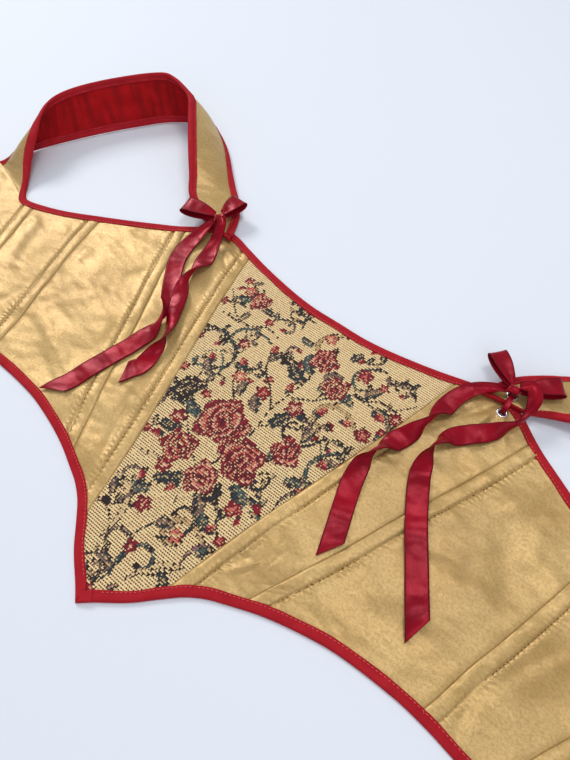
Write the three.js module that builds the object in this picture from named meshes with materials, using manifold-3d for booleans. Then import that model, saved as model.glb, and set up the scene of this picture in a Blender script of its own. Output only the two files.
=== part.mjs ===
// A renaissance bodice, laid open and face up: a tapestry stomacher, gold satin panels with sewn boning
// channels, red bias bindings, lined shoulder straps, metal eyelets and ribbon bows.
// Millimetres, +Z up. X points to the wearer's left and Y from the front point to the neckline.
import * as THREE from 'three';
import { mergeVertices } from 'three/addons/utils/BufferGeometryUtils.js';
import Module from 'manifold-3d';

// Driving dimensions
const POINT_Y = -207.48;       // place of the front point, with the origin at the middle of the garment
const CLOTH = 2.0;             // outer cloth, interlining and lining of a panel together
const GAP = 0.3;               // between neighbouring pieces
const BINDING_WIDTH = 7.2;     // bias binding, as it shows on the face
const BINDING_TOP = 3.0;       // height of the binding over a panel
const BINDING_WALL = 0.6;
const BINDING_SIDE = 1.2;      // thickness of its turn over the cut edge of a panel
const END_BINDING_WIDTH = 3.6; // the narrower binding of a strap's front end
const PANEL_INSET = 2.6;       // from the bound edge to the cloth inside the binding
const STRAP_INSET = 1.8;
const SATIN = [0.1, 1.1];      // a strap's gold layer, between two distances out from its middle surface
const LINING = [-1.1, -0.2];   // its lining
const EYELET_BORE = 2.4;       // radii of an eyelet
const EYELET_BARREL = 3.0;
const EYELET_FLANGE = 4.7;
const EYELET_RISE = 0.9;       // from its seat to the top of its rolled flange
const EYELET_HOLE = 3.3;       // radius of the hole in the cloth
const EYELET_SIDES = 8;
const PUNCH = { length: 60, middle: 10 };     // the cutter of those holes, along Z
const LACING_EYELETS = 7;      // down each centre back edge
const LACING_INSET = 13;       // from the centre back edge to the eyelets' middles
const LACING_MARGIN = 0.1;     // share of that edge beyond its first and its last eyelet
const RIBBON_WALL = 0.8;
const TIE = { width: 3.2, wall: 0.9 };        // the ribbon where it passes through the eyelets
const TAB = { width: 7, depth: 6, lap: 0.8, x: 2.5, y: 7.2 };  // the hem binding's lapped end
const PANEL_ROWS = 8;
const PANEL_MARGIN = 9;        // the plain end of a panel, under its binding
const STOMACHER_COLUMNS = 8;
const BINDING_STEP = 12;       // between the sections of a binding
const SEAM_ROUNDS = 30;        // steps that bring a seam's ends to the edges
const WELD = 1e-3;             // points nearer than this are one

const COLOUR = {
  satin: { color: 0xc9a868, roughness: 0.42, metalness: 0 },
  tapestry: { color: 0xc4a878, roughness: 0.9, metalness: 0 },
  binding: { color: 0xa61c28, roughness: 0.75, metalness: 0 },
  lining: { color: 0x8c0f18, roughness: 0.8, metalness: 0 },
  ribbon: { color: 0xa3122c, roughness: 0.35, metalness: 0 },
  eyelet: { color: 0xc8c8cc, roughness: 0.3, metalness: 1 },
};

// The outline of one half, y over x: neckline, front corner and armhole, then the hem
const TOP_EDGE = [
  { x: 0, y: 287.5 }, { x: 25, y: 287.5 }, { x: 45, y: 289.5 }, { x: 68, y: 293.5 }, { x: 91, y: 298.5 },
  { x: 115, y: 305 }, { x: 131, y: 309.5 }, { x: 143, y: 310 }, { x: 155, y: 306.5 }, { x: 166, y: 300 },
  { x: 177, y: 291.5 }, { x: 188, y: 284 }, { x: 202, y: 276 }, { x: 227, y: 262 }, { x: 250, y: 250 },
  { x: 286, y: 232 }, { x: 318, y: 221 }, { x: 334, y: 218.5 },
];
const HEM_EDGE = [
  { x: 0, y: 0 }, { x: 8, y: 7 }, { x: 27, y: 22 }, { x: 42, y: 37 }, { x: 52, y: 46.5 }, { x: 63, y: 54 },
  { x: 76, y: 60 }, { x: 98, y: 69 }, { x: 124, y: 76.5 }, { x: 150, y: 81.5 }, { x: 190, y: 83.5 },
  { x: 213, y: 82 }, { x: 234, y: 79 }, { x: 275, y: 73 }, { x: 320, y: 69 }, { x: 362, y: 67 },
];
const NECK_CORNER = 143;                     // where the neckline's binding meets the armhole's
const ARMHOLE_CORNER = { x: 334, y: 218.5 };
const STRAP_ROOT = { x: 396, y: 238 };       // where the strap's neck edge meets the back neckline
const BACK_NECK = { x: 430, y: 226 };        // top of the centre back edge
const BACK_HEM = { x: 362, y: 67 };          // foot of the centre back edge

// Seams of one half, x over y
const SEAMS = {
  tapestry: [{ y: 40, x: 39 }, { y: 98, x: 52.3 }, { y: 165, x: 71 }, { y: 247, x: 94.5 }, { y: 300, x: 107.5 }],
  front: [{ y: 66, x: 83 }, { y: 95, x: 96 }, { y: 130, x: 112 }, { y: 180, x: 132.5 }, { y: 235, x: 157 },
    { y: 290, x: 178.5 }],
  sideFront: [{ y: 80, x: 203 }, { y: 97, x: 209 }, { y: 127, x: 217 }, { y: 155, x: 226 }, { y: 212, x: 242.5 },
    { y: 247, x: 251 }],
  side: [{ y: 70, x: 252 }, { y: 109, x: 268.5 }, { y: 133, x: 281 }, { y: 161, x: 294.5 }, { y: 213, x: 314 },
    { y: 222, x: 317 }],
  centreBack: [{ y: 67, x: 362 }, { y: 226, x: 430 }],
};

// Relief across a panel, from the seam nearer the front: the sewn boning channel and its stitch groove
const CHANNEL = [
  { across: 0, raise: -0.5 }, { across: 1.4, raise: 0.3 }, { across: 4.8, raise: 0.8 },
  { across: 8.4, raise: 0.3 }, { across: 10, raise: -0.6 }, { across: 12.5, raise: 0.1 },
];
const SEAM_DIP = { across: 3, raise: -0.5 };  // beside the seam farther from the front

// The broad soft folds: middle, turn in degrees, half length, half width and height
const FOLDS = [
  { side: 1, x: 134, y: 268, turn: 62, long: 34, wide: 9, lift: 0.8 },
  { side: 1, x: 118, y: 276, turn: 40, long: 26, wide: 8, lift: -0.5 },
  { side: 1, x: 74, y: 108, turn: 100, long: 34, wide: 9, lift: -0.7 },
  { side: 1, x: 185, y: 150, turn: 35, long: 60, wide: 20, lift: 0.6 },
  { side: 1, x: 262, y: 190, turn: 60, long: 44, wide: 16, lift: 0.6 },
  { side: -1, x: 128, y: 262, turn: 80, long: 30, wide: 10, lift: 0.7 },
  { side: -1, x: 190, y: 180, turn: 20, long: 50, wide: 22, lift: 0.6 },
  { side: -1, x: 266, y: 165, turn: 75, long: 46, wide: 16, lift: 0.6 },
];

// The standing strap, a row for each section from its front end to the back: its neck edge, its armhole
// edge and how far the satin swells out between them
const STRAP = [
  { neck: [125, 298.5, 5.4], arm: [164, 304.5, 5.4], swell: 0 },
  { neck: [139, 326, 4.2], arm: [180, 311, 8], swell: 0.5 },
  { neck: [158, 345, 3.0], arm: [196, 317, 12], swell: 1 },
  { neck: [178, 359, 2.6], arm: [210, 331, 20], swell: 2 },
  { neck: [198, 375, 2.3], arm: [224, 345, 28.5], swell: 3 },
  { neck: [218, 392, 2.0], arm: [240, 363, 36], swell: 4 },
  { neck: [236, 404, 1.8], arm: [255, 380, 41], swell: 4 },
  { neck: [254, 412, 1.5], arm: [270, 396, 44], swell: 4 },
  { neck: [272, 413, 1.3], arm: [285, 403, 46], swell: 3 },
  { neck: [288, 407, 1.3], arm: [300, 407, 47], swell: 2 },
  { neck: [300, 398, 1.3], arm: [314, 408, 46.5], swell: 1 },
  { neck: [311, 387, 1.4], arm: [328, 399, 45.5], swell: 0.5 },
  { neck: [323, 371, 1.5], arm: [343, 382, 45], swell: 0.5 },
  { neck: [338, 350, 1.6], arm: [359, 360, 44.5], swell: 0.5 },
  { neck: [353, 327, 1.6], arm: [371, 337, 44.5], swell: 0.5 },
  { neck: [366, 305, 1.5], arm: [377, 318, 44], swell: 1 },
  { neck: [376, 288, 1.3], arm: [376, 302, 43], swell: 3 },
  { neck: [383, 274, 1.5], arm: [369, 286, 40], swell: 5 },
  { neck: [388, 261, 1.8], arm: [360, 269, 31], swell: 7 },
  { neck: [391, 250, 2.0], arm: [354, 253, 18.5], swell: 6 },
  { neck: [393.5, 242, 2.1], arm: [345, 236, 7], swell: 2 },
  { neck: [396, 238, 2.2], arm: [334.4, 219.5, 2.2], swell: 0 },
];
const RIGHT_STRAP_SHIFT = [7, 6, 4, 1.5];     // the right strap's first sections lie this much farther out
const LAST_ROW = STRAP.length - 1;
const FIRST_ROW_LENGTH = 20;                  // along the strap's middle, between its first two sections

// Eyelets of the strap joints, for the left (side 1) and the right (side -1)
const FRONT_EYELET = { x: 148, y: 295.5 };
const STRAP_EYELET = { x: 147, y: 310.8 };

// The bows: a knot over the eyelets, and two loops given by their far ends
const BOWS = [
  {
    side: 1, knot: [146, 311.5, 13.9],
    loops: [
      { name: 'upper', end: [119, 333, 15], width: 14 },
      { name: 'outer', end: [174.5, 334, 16], width: 15 },
    ],
  },
  {
    side: -1, knot: [-153.5, 309.5, 13.9],
    loops: [
      { name: 'outer', end: [-190, 301, 15], width: 17 },
      { name: 'upper', end: [-152, 338, 15], width: 16 },
    ],
  },
];
// A loop's section in its own upright plane: reach and height, and the ribbon's gathered width
const LOOP = [
  { reach: 0.0, up: -1.4, width: 0.35 }, { reach: 0.3, up: -2.4, width: 0.7 }, { reach: 0.65, up: -3.2, width: 0.95 },
  { reach: 0.92, up: -2.6, width: 1 }, { reach: 1.0, up: 0.2, width: 1 }, { reach: 0.9, up: 2.9, width: 1 },
  { reach: 0.6, up: 3.6, width: 0.95 }, { reach: 0.3, up: 3.0, width: 0.7 }, { reach: 0.0, up: 1.4, width: 0.35 },
];
const KNOT_RADII = [5.0, 4.6, 3.2];

// The ribbons' free tails, a row every few centimetres: middle line, height, width and turn in degrees
const TAILS = [
  {
    name: 'ribbon_tail_left_inner',
    rows: [
      [141.4, 309, 11.2, 5, 0], [132.5, 305.5, 10.2, 8, 0], [121, 297, 6.8, 12, 0], [114, 284, 5.0, 14, 0],
      [111.5, 270, 4.6, 15, 0], [110, 258, 8.4, 10, 60], [108.5, 249, 8.5, 9, 105], [104, 237, 6.5, 14, 160],
      [97.5, 223, 4.3, 16, 180], [92.5, 211.5, 8.4, 10, 240], [89.5, 203, 8.5, 9, 280], [89, 193, 6.5, 14, 340],
      [91.5, 178, 4.1, 16, 360], [96, 164, 4.1, 16, 360], [102, 147, 4.1, 16, 360], [108, 130, 4.1, 16, 360],
    ],
  },
  {
    name: 'ribbon_tail_left_outer',
    rows: [
      [148, 313.4, 17.7, 6, 0], [155.5, 316, 20.5, 11, 0], [162, 311, 18, 11, 25], [164.5, 301, 13.5, 10, 55],
      [161, 288, 9.5, 9, 90], [152, 276, 7.4, 13, 150], [139, 264, 4.5, 16, 180], [129.5, 253, 4.5, 15, 180],
      [124.5, 244, 8.0, 11, 225], [122, 235, 8.6, 9, 275], [123.5, 223, 7.0, 14, 335], [128, 209, 4.1, 16, 360],
      [142, 183, 4.1, 16, 360], [160, 155, 4.1, 16, 360], [171, 138, 4.1, 16, 360], [181, 123, 4.1, 16, 360],
    ],
  },
  {
    name: 'ribbon_tail_right_inner',
    rows: [
      [-151, 309, 17.8, 6, 0], [-144.5, 303, 16.8, 9, 0], [-141, 293, 10.5, 10, 0], [-138, 281, 6.0, 13, 0],
      [-134, 266, 4.8, 16, 0], [-131, 253, 8.3, 13, 40], [-130, 243, 8.6, 9, 95], [-127, 232, 8.0, 12, 155],
      [-121, 221, 8.0, 14, 180], [-113, 207, 7.8, 12, 180], [-105.5, 193, 7.0, 10, 215], [-100, 181, 8.1, 8, 270],
      [-97.5, 169, 7.0, 12, 330], [-98, 154, 4.1, 16, 360], [-101, 147, 4.1, 16, 360], [-104.5, 140, 4.1, 16, 360],
    ],
  },
  {
    name: 'ribbon_tail_right_outer',
    rows: [
      [-154.8, 304.6, 12.2, 5, 0], [-157.5, 295, 9.6, 10, 0], [-159.5, 281, 6.2, 14, 0], [-160, 267, 4.7, 16, 0],
      [-153.5, 250, 4.2, 16, 0], [-140.5, 231, 4.2, 15, 0], [-129.5, 215.5, 5.6, 12, -15],
      [-123.5, 207.5, 7.9, 10, -50], [-119, 200, 8.6, 9, -90], [-116.5, 191, 7.6, 11, -140],
      [-116.5, 180, 4.4, 15, -180], [-119.5, 162, 4.1, 16, -180], [-124, 143, 4.1, 16, -180],
      [-128, 127, 4.1, 16, -180], [-132, 110, 4.1, 16, -180], [-136, 94, 4.1, 16, -180],
    ],
  },
];

// Curves through the tables
function through(rows, key, value) {
  const at = (i) => rows[Math.min(Math.max(i, 0), rows.length - 1)];
  const slope = (i) => {
    const before = at(i - 1);
    const after = at(i + 1);
    return (after[value] - before[value]) / (after[key] - before[key]);
  };
  return (k) => {
    let i = 0;
    while (i < rows.length - 2 && k > rows[i + 1][key]) i += 1;
    const span = rows[i + 1][key] - rows[i][key];
    const t = (k - rows[i][key]) / span;
    if (t < 0) return rows[i][value] + t * span * slope(i);
    if (t > 1) return rows[i + 1][value] + (t - 1) * span * slope(i + 1);
    const smooth = t * t * (3 - 2 * t);
    const ease = span * t * (1 - t);
    return rows[i][value] * (1 - smooth) + rows[i + 1][value] * smooth
      + ease * ((1 - t) * slope(i) - t * slope(i + 1));
  };
}
const hemCurve = through(HEM_EDGE, 'x', 'y');
const frontTop = through(TOP_EDGE, 'x', 'y');
const rise = (a, b) => (b.y - a.y) / (b.x - a.x);
function topCurve(x) {
  if (x <= ARMHOLE_CORNER.x) return frontTop(x);
  if (x <= STRAP_ROOT.x) return ARMHOLE_CORNER.y + (x - ARMHOLE_CORNER.x) * rise(ARMHOLE_CORNER, STRAP_ROOT);
  return STRAP_ROOT.y + (x - STRAP_ROOT.x) * rise(STRAP_ROOT, BACK_NECK);
}

// How much longer a curve's slope makes a step square to it, when that step is taken along Y
function lean(curve, x) {
  return Math.hypot(1, curve(x + 0.5) - curve(x - 0.5));
}
const hemInside = (x, inset) => hemCurve(x) + inset * lean(hemCurve, Math.max(x, 0.6));
function topInside(x, inset) {
  const onStrapRoot = x > ARMHOLE_CORNER.x + 2 && x < STRAP_ROOT.x - 1;
  return topCurve(x) - (onStrapRoot ? GAP : inset) * lean(topCurve, x);
}

// A seam as a curve from hem to top edge, shifted sideways by half the gap
function seamLine(rows, shift) {
  const across = through(rows, 'y', 'x');
  const place = (y) => across(y) + shift * Math.hypot(1, across(y + 0.5) - across(y - 0.5));
  let foot = rows[0].y;
  let head = rows[rows.length - 1].y;
  for (let i = 0; i < SEAM_ROUNDS; i += 1) {
    foot = hemInside(place(foot), PANEL_INSET);
    head = topInside(place(head), PANEL_INSET);
  }
  return (t) => {
    const y = foot + (head - foot) * t;
    return [place(y), y];
  };
}

function foldLift(side, x, y) {
  let lift = 0;
  for (const fold of FOLDS) {
    if (fold.side !== side) continue;
    const turn = THREE.MathUtils.degToRad(fold.turn);
    const dx = x - fold.x;
    const dy = y - fold.y;
    const along = (dx * Math.cos(turn) + dy * Math.sin(turn)) / fold.long;
    const across = (-dx * Math.sin(turn) + dy * Math.cos(turn)) / fold.wide;
    lift += fold.lift * Math.exp(-along * along - across * across);
  }
  return lift;
}

// Closed meshes from grids and rings of points
function geometryOf(points, triangles) {
  const geometry = new THREE.BufferGeometry();
  geometry.setAttribute('position', new THREE.Float32BufferAttribute(points.flat(), 3));
  geometry.setIndex(triangles.flat());
  return geometry;
}

// The two faces of a four-cornered patch, split along its shorter diagonal
function patch(points, a, b, c, d) {
  const apart = (p, q) => Math.hypot(...points[p].map((value, i) => value - points[q][i]));
  return apart(a, c) < apart(b, d) ? [[a, b, c], [a, c, d]] : [[a, b, d], [b, c, d]];
}

// A wall between an upper and a lower grid of the same size
function wallBetween(upper, lower) {
  const rows = upper.length;
  const columns = upper[0].length;
  const points = [...upper.flat(), ...lower.flat()];
  const top = (i, j) => i * columns + j;
  const under = (i, j) => rows * columns + i * columns + j;
  const triangles = [];
  for (let i = 0; i < rows - 1; i += 1) {
    for (let j = 0; j < columns - 1; j += 1) {
      triangles.push(...patch(points, top(i, j), top(i, j + 1), top(i + 1, j + 1), top(i + 1, j)));
      triangles.push(...patch(points, under(i, j), under(i + 1, j), under(i + 1, j + 1), under(i, j + 1)));
    }
  }
  const rim = [];
  for (let j = 0; j < columns - 1; j += 1) rim.push([0, j]);
  for (let i = 0; i < rows - 1; i += 1) rim.push([i, columns - 1]);
  for (let j = columns - 1; j > 0; j -= 1) rim.push([rows - 1, j]);
  for (let i = rows - 1; i > 0; i -= 1) rim.push([i, 0]);
  rim.forEach(([i, j], k) => {
    const [m, n] = rim[(k + 1) % rim.length];
    triangles.push([top(i, j), under(i, j), under(m, n)]);
    triangles.push([top(i, j), under(m, n), top(m, n)]);
  });
  return geometryOf(points, triangles);
}

// A solid along a row of closed sections; outline gives the section in its own plane, for the end caps
function sweep(sections, outline) {
  const sides = outline.length;
  const points = sections.flat();
  const triangles = [];
  for (let i = 0; i < sections.length - 1; i += 1) {
    for (let k = 0; k < sides; k += 1) {
      const a = i * sides + k;
      const b = i * sides + ((k + 1) % sides);
      triangles.push(...patch(points, a, b, b + sides, a + sides));
    }
  }
  const contour = outline.map(([x, y]) => new THREE.Vector2(x, y));
  const clockwise = THREE.ShapeUtils.isClockWise(contour);
  const last = (sections.length - 1) * sides;
  for (const face of THREE.ShapeUtils.triangulateShape(contour, [])) {
    const [a, b, c] = clockwise ? face.reverse() : face;
    triangles.push([a, c, b]);
    triangles.push([last + a, last + b, last + c]);
  }
  return geometryOf(points, triangles);
}

// Turns a mesh's faces outward, whichever way its points ran
function facingOut(geometry) {
  const position = geometry.getAttribute('position');
  const index = geometry.getIndex().array;
  const [a, b, c] = [new THREE.Vector3(), new THREE.Vector3(), new THREE.Vector3()];
  let volume = 0;
  for (let i = 0; i < index.length; i += 3) {
    a.fromBufferAttribute(position, index[i]);
    b.fromBufferAttribute(position, index[i + 1]);
    c.fromBufferAttribute(position, index[i + 2]);
    volume += a.dot(b.cross(c));
  }
  if (volume < 0) {
    for (let i = 0; i < index.length; i += 3) {
      const swap = index[i + 1];
      index[i + 1] = index[i + 2];
      index[i + 2] = swap;
    }
  }
  return geometry;
}

// A geometry whose corners are shared, with nothing but its places
function welded(geometry) {
  geometry.deleteAttribute('normal');
  geometry.deleteAttribute('uv');
  return facingOut(mergeVertices(geometry, WELD));
}

// The same piece on the other side of the body
function onSide(geometry, side) {
  return facingOut(side < 0 ? geometry.scale(-1, 1, 1) : geometry);
}

const wasm = await Module();
wasm.setup();

function toSolid(geometry) {
  const bare = geometry.clone();
  bare.deleteAttribute('normal');
  bare.deleteAttribute('uv');
  const merged = facingOut(mergeVertices(bare, WELD));
  return new wasm.Manifold(new wasm.Mesh({
    numProp: 3,
    vertProperties: new Float32Array(merged.getAttribute('position').array),
    triVerts: new Uint32Array(merged.getIndex().array),
  }));
}

// Cuts upright round holes of the eyelets' size at the given places
function withHoles(geometry, places) {
  let solid = toSolid(geometry);
  for (const { x, y } of places) {
    const punch = new THREE.CylinderGeometry(EYELET_HOLE, EYELET_HOLE, PUNCH.length, EYELET_SIDES);
    punch.rotateX(Math.PI / 2);
    punch.translate(x, y, PUNCH.middle);
    solid = solid.subtract(toSolid(punch));
  }
  const mesh = solid.getMesh();
  const cut = new THREE.BufferGeometry();
  cut.setAttribute('position', new THREE.Float32BufferAttribute(mesh.vertProperties, 3));
  cut.setIndex(Array.from(mesh.triVerts));
  return cut;
}

const bodice = new THREE.Group();
bodice.position.y = POINT_Y;

function addPiece(name, geometry, colour) {
  const mesh = new THREE.Mesh(geometry, new THREE.MeshStandardMaterial(COLOUR[colour]));
  mesh.name = name;
  bodice.add(mesh);
}
const sideName = (side) => (side > 0 ? 'left' : 'right');

// Panels: their rows as shares of the length, closer at the bound ends
function panelRows(length) {
  const margin = PANEL_MARGIN / length;
  const rows = [0, margin];
  for (let i = 1; i < PANEL_ROWS - 1; i += 1) {
    rows.push(2 * margin + (1 - 4 * margin) * ((i - 1) / (PANEL_ROWS - 3)));
  }
  return [...rows, 1 - margin, 1];
}

// A panel between two seams: a grid whose sides are the seams, and whose ends follow hem and top edge
function panelGrid(inner, outer, columnsAt, height) {
  const [innerFoot, innerHead] = [inner(0), inner(1)];
  const [outerFoot, outerHead] = [outer(0), outer(1)];
  const rows = panelRows(Math.hypot(innerHead[0] - innerFoot[0], innerHead[1] - innerFoot[1]));
  const mix = (a, b, t) => a + (b - a) * t;
  const upper = [];
  const lower = [];
  for (const t of rows) {
    const a = inner(t);
    const b = outer(t);
    const width = Math.hypot(b[0] - a[0], b[1] - a[1]);
    const topRow = [];
    const underRow = [];
    for (const { s, raise } of columnsAt(width, t)) {
      const footX = mix(innerFoot[0], outerFoot[0], s);
      const headX = mix(innerHead[0], outerHead[0], s);
      const footY = hemInside(footX, PANEL_INSET);
      const headY = topInside(headX, PANEL_INSET);
      const cornerX = mix(footX, headX, t);
      const cornerY = mix(mix(innerFoot[1], outerFoot[1], s), mix(innerHead[1], outerHead[1], s), t);
      const x = mix(footX, headX, t) + mix(a[0], b[0], s) - cornerX;
      const y = mix(footY, headY, t) + mix(a[1], b[1], s) - cornerY;
      const covered = t <= rows[1] || t >= rows[rows.length - 2];
      topRow.push([x, y, CLOTH + (covered ? 0 : height(x, y, raise))]);
      underRow.push([x, y, 0]);
    }
    upper.push(topRow);
    lower.push(underRow);
  }
  return wallBetween(upper, lower);
}

function channelledColumns(stops) {
  return (width) => {
    const columns = CHANNEL.map(({ across, raise }) => ({ s: across / width, raise }));
    const start = CHANNEL[CHANNEL.length - 1].across / width;
    const finish = 1 - SEAM_DIP.across / width;
    for (const share of stops) columns.push({ s: start + (finish - start) * share, raise: 0 });
    columns.push({ s: finish, raise: 0 });
    columns.push({ s: 1, raise: SEAM_DIP.raise });
    return columns;
  };
}

const seamEdge = (name, shift) => seamLine(SEAMS[name], shift);

const PANELS = [
  { name: 'front_panel', inner: 'tapestry', outer: 'front', stops: [0.5] },
  { name: 'side_front_panel', inner: 'front', outer: 'sideFront', stops: [0.25, 0.5, 0.75] },
  { name: 'side_panel', inner: 'sideFront', outer: 'side', stops: [0.5] },
];

function lacingPlaces() {
  const places = [];
  for (let i = 0; i < LACING_EYELETS; i += 1) {
    const t = LACING_MARGIN + ((1 - 2 * LACING_MARGIN) * i) / (LACING_EYELETS - 1);
    const run = new THREE.Vector2(BACK_NECK.x - BACK_HEM.x, BACK_NECK.y - BACK_HEM.y);
    const inward = new THREE.Vector2(-run.y, run.x).setLength(LACING_INSET);
    places.push({ x: BACK_HEM.x + run.x * t + inward.x, y: BACK_HEM.y + run.y * t + inward.y });
  }
  return places;
}

function addPanels(side) {
  const height = (x, y, raise) => raise + foldLift(side, x, y);
  for (const { name, inner, outer, stops } of PANELS) {
    const columns = channelledColumns(stops);
    let geometry = panelGrid(seamEdge(inner, GAP / 2), seamEdge(outer, -GAP / 2), columns, height);
    if (name === 'front_panel') geometry = withHoles(geometry, [FRONT_EYELET]);
    addPiece(`${name}_${sideName(side)}`, onSide(geometry, side), 'satin');
  }
  // The back panel's own corners, at the armhole and at the strap's root, each get a column
  const inner = seamEdge('side', GAP / 2);
  const corners = [ARMHOLE_CORNER.x, ARMHOLE_CORNER.x + 4, STRAP_ROOT.x - 4, STRAP_ROOT.x];
  const backEdge = seamEdge('centreBack', -PANEL_INSET);
  const shareOf = (x) => (x - inner(1)[0]) / (backEdge(1)[0] - inner(1)[0]);
  const columns = (width) => {
    const list = CHANNEL.map(({ across, raise }) => ({ s: across / width, raise }));
    for (const x of corners) list.push({ s: shareOf(x), raise: 0 });
    list.push({ s: 1, raise: 0 });
    return list;
  };
  const back = panelGrid(inner, backEdge, columns, (x, y, raise) => raise);
  addPiece(`back_panel_${sideName(side)}`, onSide(withHoles(back, lacingPlaces()), side), 'satin');
}

function addStomacher() {
  const left = seamEdge('tapestry', -GAP / 2);
  const edge = [left(0), left(1)];
  const rows = panelRows(edge[1][1] - edge[0][1]);
  const upper = [];
  const lower = [];
  for (const t of rows) {
    const topRow = [];
    const underRow = [];
    for (let j = 0; j <= STOMACHER_COLUMNS; j += 1) {
      const s = (2 * j) / STOMACHER_COLUMNS - 1;
      const reach = Math.abs(s);
      const footX = edge[0][0] * reach;
      const headX = edge[1][0] * reach;
      const footY = hemInside(footX, PANEL_INSET);
      const headY = topInside(headX, PANEL_INSET);
      const straightX = footX + (headX - footX) * t;
      const x = straightX + (left(t)[0] - (edge[0][0] + (edge[1][0] - edge[0][0]) * t)) * reach;
      const y = footY + (headY - footY) * t;
      const covered = t <= rows[1] || t >= rows[rows.length - 2];
      const dip = reach === 1 && !covered ? SEAM_DIP.raise : 0;
      topRow.push([Math.sign(s) * x, y, CLOTH + dip]);
      underRow.push([Math.sign(s) * x, y, 0]);
    }
    upper.push(topRow);
    lower.push(underRow);
  }
  addPiece('stomacher', facingOut(wallBetween(upper, lower)), 'tapestry');
}

// Bindings on the flat edges: a fold over the edge, whose foot stands on the table
const FLAT_FOLD = [
  [0, 0], [0, BINDING_TOP - BINDING_WALL], [BINDING_WALL, BINDING_TOP], [BINDING_WIDTH - 0.5, BINDING_TOP],
  [BINDING_WIDTH, BINDING_TOP - BINDING_WALL], [BINDING_SIDE, BINDING_TOP - BINDING_WALL], [BINDING_SIDE, 0],
];

function flatBinding(curve, inward, fromX, toX, mirrored) {
  const count = Math.ceil((toX - fromX) / BINDING_STEP);
  const stops = [];
  for (let i = 0; i <= count; i += 1) stops.push(fromX + ((toX - fromX) * i) / count);
  const places = mirrored ? [...stops.slice(1).reverse().map((x) => -x), ...stops] : stops;
  const sections = places.map((x) => {
    const across = Math.abs(x);
    const stretch = inward * lean(curve, Math.max(across, 0.6));
    return FLAT_FOLD.map(([inset, z]) => [x, curve(across) + inset * stretch, z]);
  });
  return sweep(sections, FLAT_FOLD);
}

function addFlatBindings() {
  const neck = flatBinding(topCurve, -1, 0, NECK_CORNER - GAP / 2, true);
  addPiece('neckline_binding', facingOut(neck), 'binding');
  for (const side of [1, -1]) {
    const name = sideName(side);
    const armhole = flatBinding(topCurve, -1, NECK_CORNER + GAP / 2, ARMHOLE_CORNER.x - GAP, false);
    addPiece(`armhole_binding_${name}`, onSide(armhole, side), 'binding');
    const hem = flatBinding(hemCurve, 1, GAP / 2, BACK_HEM.x, false);
    addPiece(`hem_binding_${name}`, onSide(hem, side), 'binding');
    const backNeck = flatBinding(topCurve, -1, STRAP_ROOT.x + GAP, BACK_NECK.x, false);
    addPiece(`back_neck_binding_${name}`, onSide(backNeck, side), 'binding');
    addPiece(`back_edge_binding_${name}`, onSide(backEdgeBinding(), side), 'binding');
  }
  addPointTab();
}

// The binding of a centre back edge, clear of the hem's and the back neckline's
function backEdgeBinding() {
  const foot = [BACK_HEM.x, BACK_HEM.y];
  const run = new THREE.Vector2(BACK_NECK.x - BACK_HEM.x, BACK_NECK.y - BACK_HEM.y);
  const length = run.length();
  run.normalize();
  const spans = 3;
  const clear = BINDING_WIDTH + 1.4;
  const sections = [];
  for (let i = 0; i <= spans; i += 1) {
    const along = clear + ((length - 2 * clear) * i) / spans;
    const [x, y] = [foot[0] + run.x * along, foot[1] + run.y * along];
    sections.push(FLAT_FOLD.map(([inset, z]) => [x - run.y * inset, y + run.x * inset, z]));
  }
  return sweep(sections, FLAT_FOLD);
}

// The lapped end of the hem binding, folded over the front point
function addPointTab() {
  const geometry = new THREE.BoxGeometry(TAB.width, TAB.depth, TAB.lap);
  geometry.translate(TAB.x, TAB.y, BINDING_TOP + GAP + TAB.lap / 2);
  addPiece('point_tab', welded(geometry), 'binding');
}

// The strap's surface: a place along it in rows, across it from neck edge to armhole edge, and outward
function strapFrame(side) {
  const edge = (key) => STRAP.map((row, i) => {
    const shift = side < 0 ? (RIGHT_STRAP_SHIFT[i] || 0) : 0;
    return new THREE.Vector3(row[key][0] + shift, row[key][1], row[key][2]);
  });
  const necks = edge('neck');
  const arms = edge('arm');
  const between = (list, row) => {
    const i = Math.min(Math.floor(row), list.length - 2);
    return list[i].clone().lerp(list[i + 1], row - i);
  };
  const swellAt = (row) => {
    const i = Math.min(Math.floor(row), STRAP.length - 2);
    return THREE.MathUtils.lerp(STRAP[i].swell, STRAP[i + 1].swell, row - i);
  };
  return (row, across, out) => {
    const neck = between(necks, row);
    const arm = between(arms, row);
    const width = arm.clone().sub(neck);
    const before = Math.max(row - 0.5, 0);
    const after = Math.min(row + 0.5, STRAP.length - 1);
    const middle = (r) => between(necks, r).add(between(arms, r)).multiplyScalar(0.5);
    const along = middle(after).sub(middle(before));
    const outward = width.clone().cross(along).normalize();
    const share = across < 0 ? 1 + across / width.length() : across / width.length();
    const swell = swellAt(row) * 4 * share * (1 - share);
    const point = neck.addScaledVector(width, share).addScaledVector(outward, swell + out);
    return [point.x, point.y, point.z];
  };
}

function strapWidth(row) {
  const { neck, arm } = STRAP[Math.min(Math.round(row), LAST_ROW)];
  return Math.hypot(arm[0] - neck[0], arm[1] - neck[1], arm[2] - neck[2]);
}

// One layer of the strap, between two distances out from its middle surface
function strapLayer(place, [innerOut, outerOut], endInset) {
  const upper = [];
  const lower = [];
  for (let i = 0; i <= LAST_ROW; i += 1) {
    const row = i === 0 ? endInset : i;
    const width = strapWidth(row);
    const stops = [STRAP_INSET, BINDING_WIDTH, width / 2, -BINDING_WIDTH, -STRAP_INSET];
    upper.push(stops.map((across) => place(row, across, outerOut)));
    lower.push(stops.map((across) => place(row, across, innerOut)));
  }
  return wallBetween(upper, lower);
}

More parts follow.
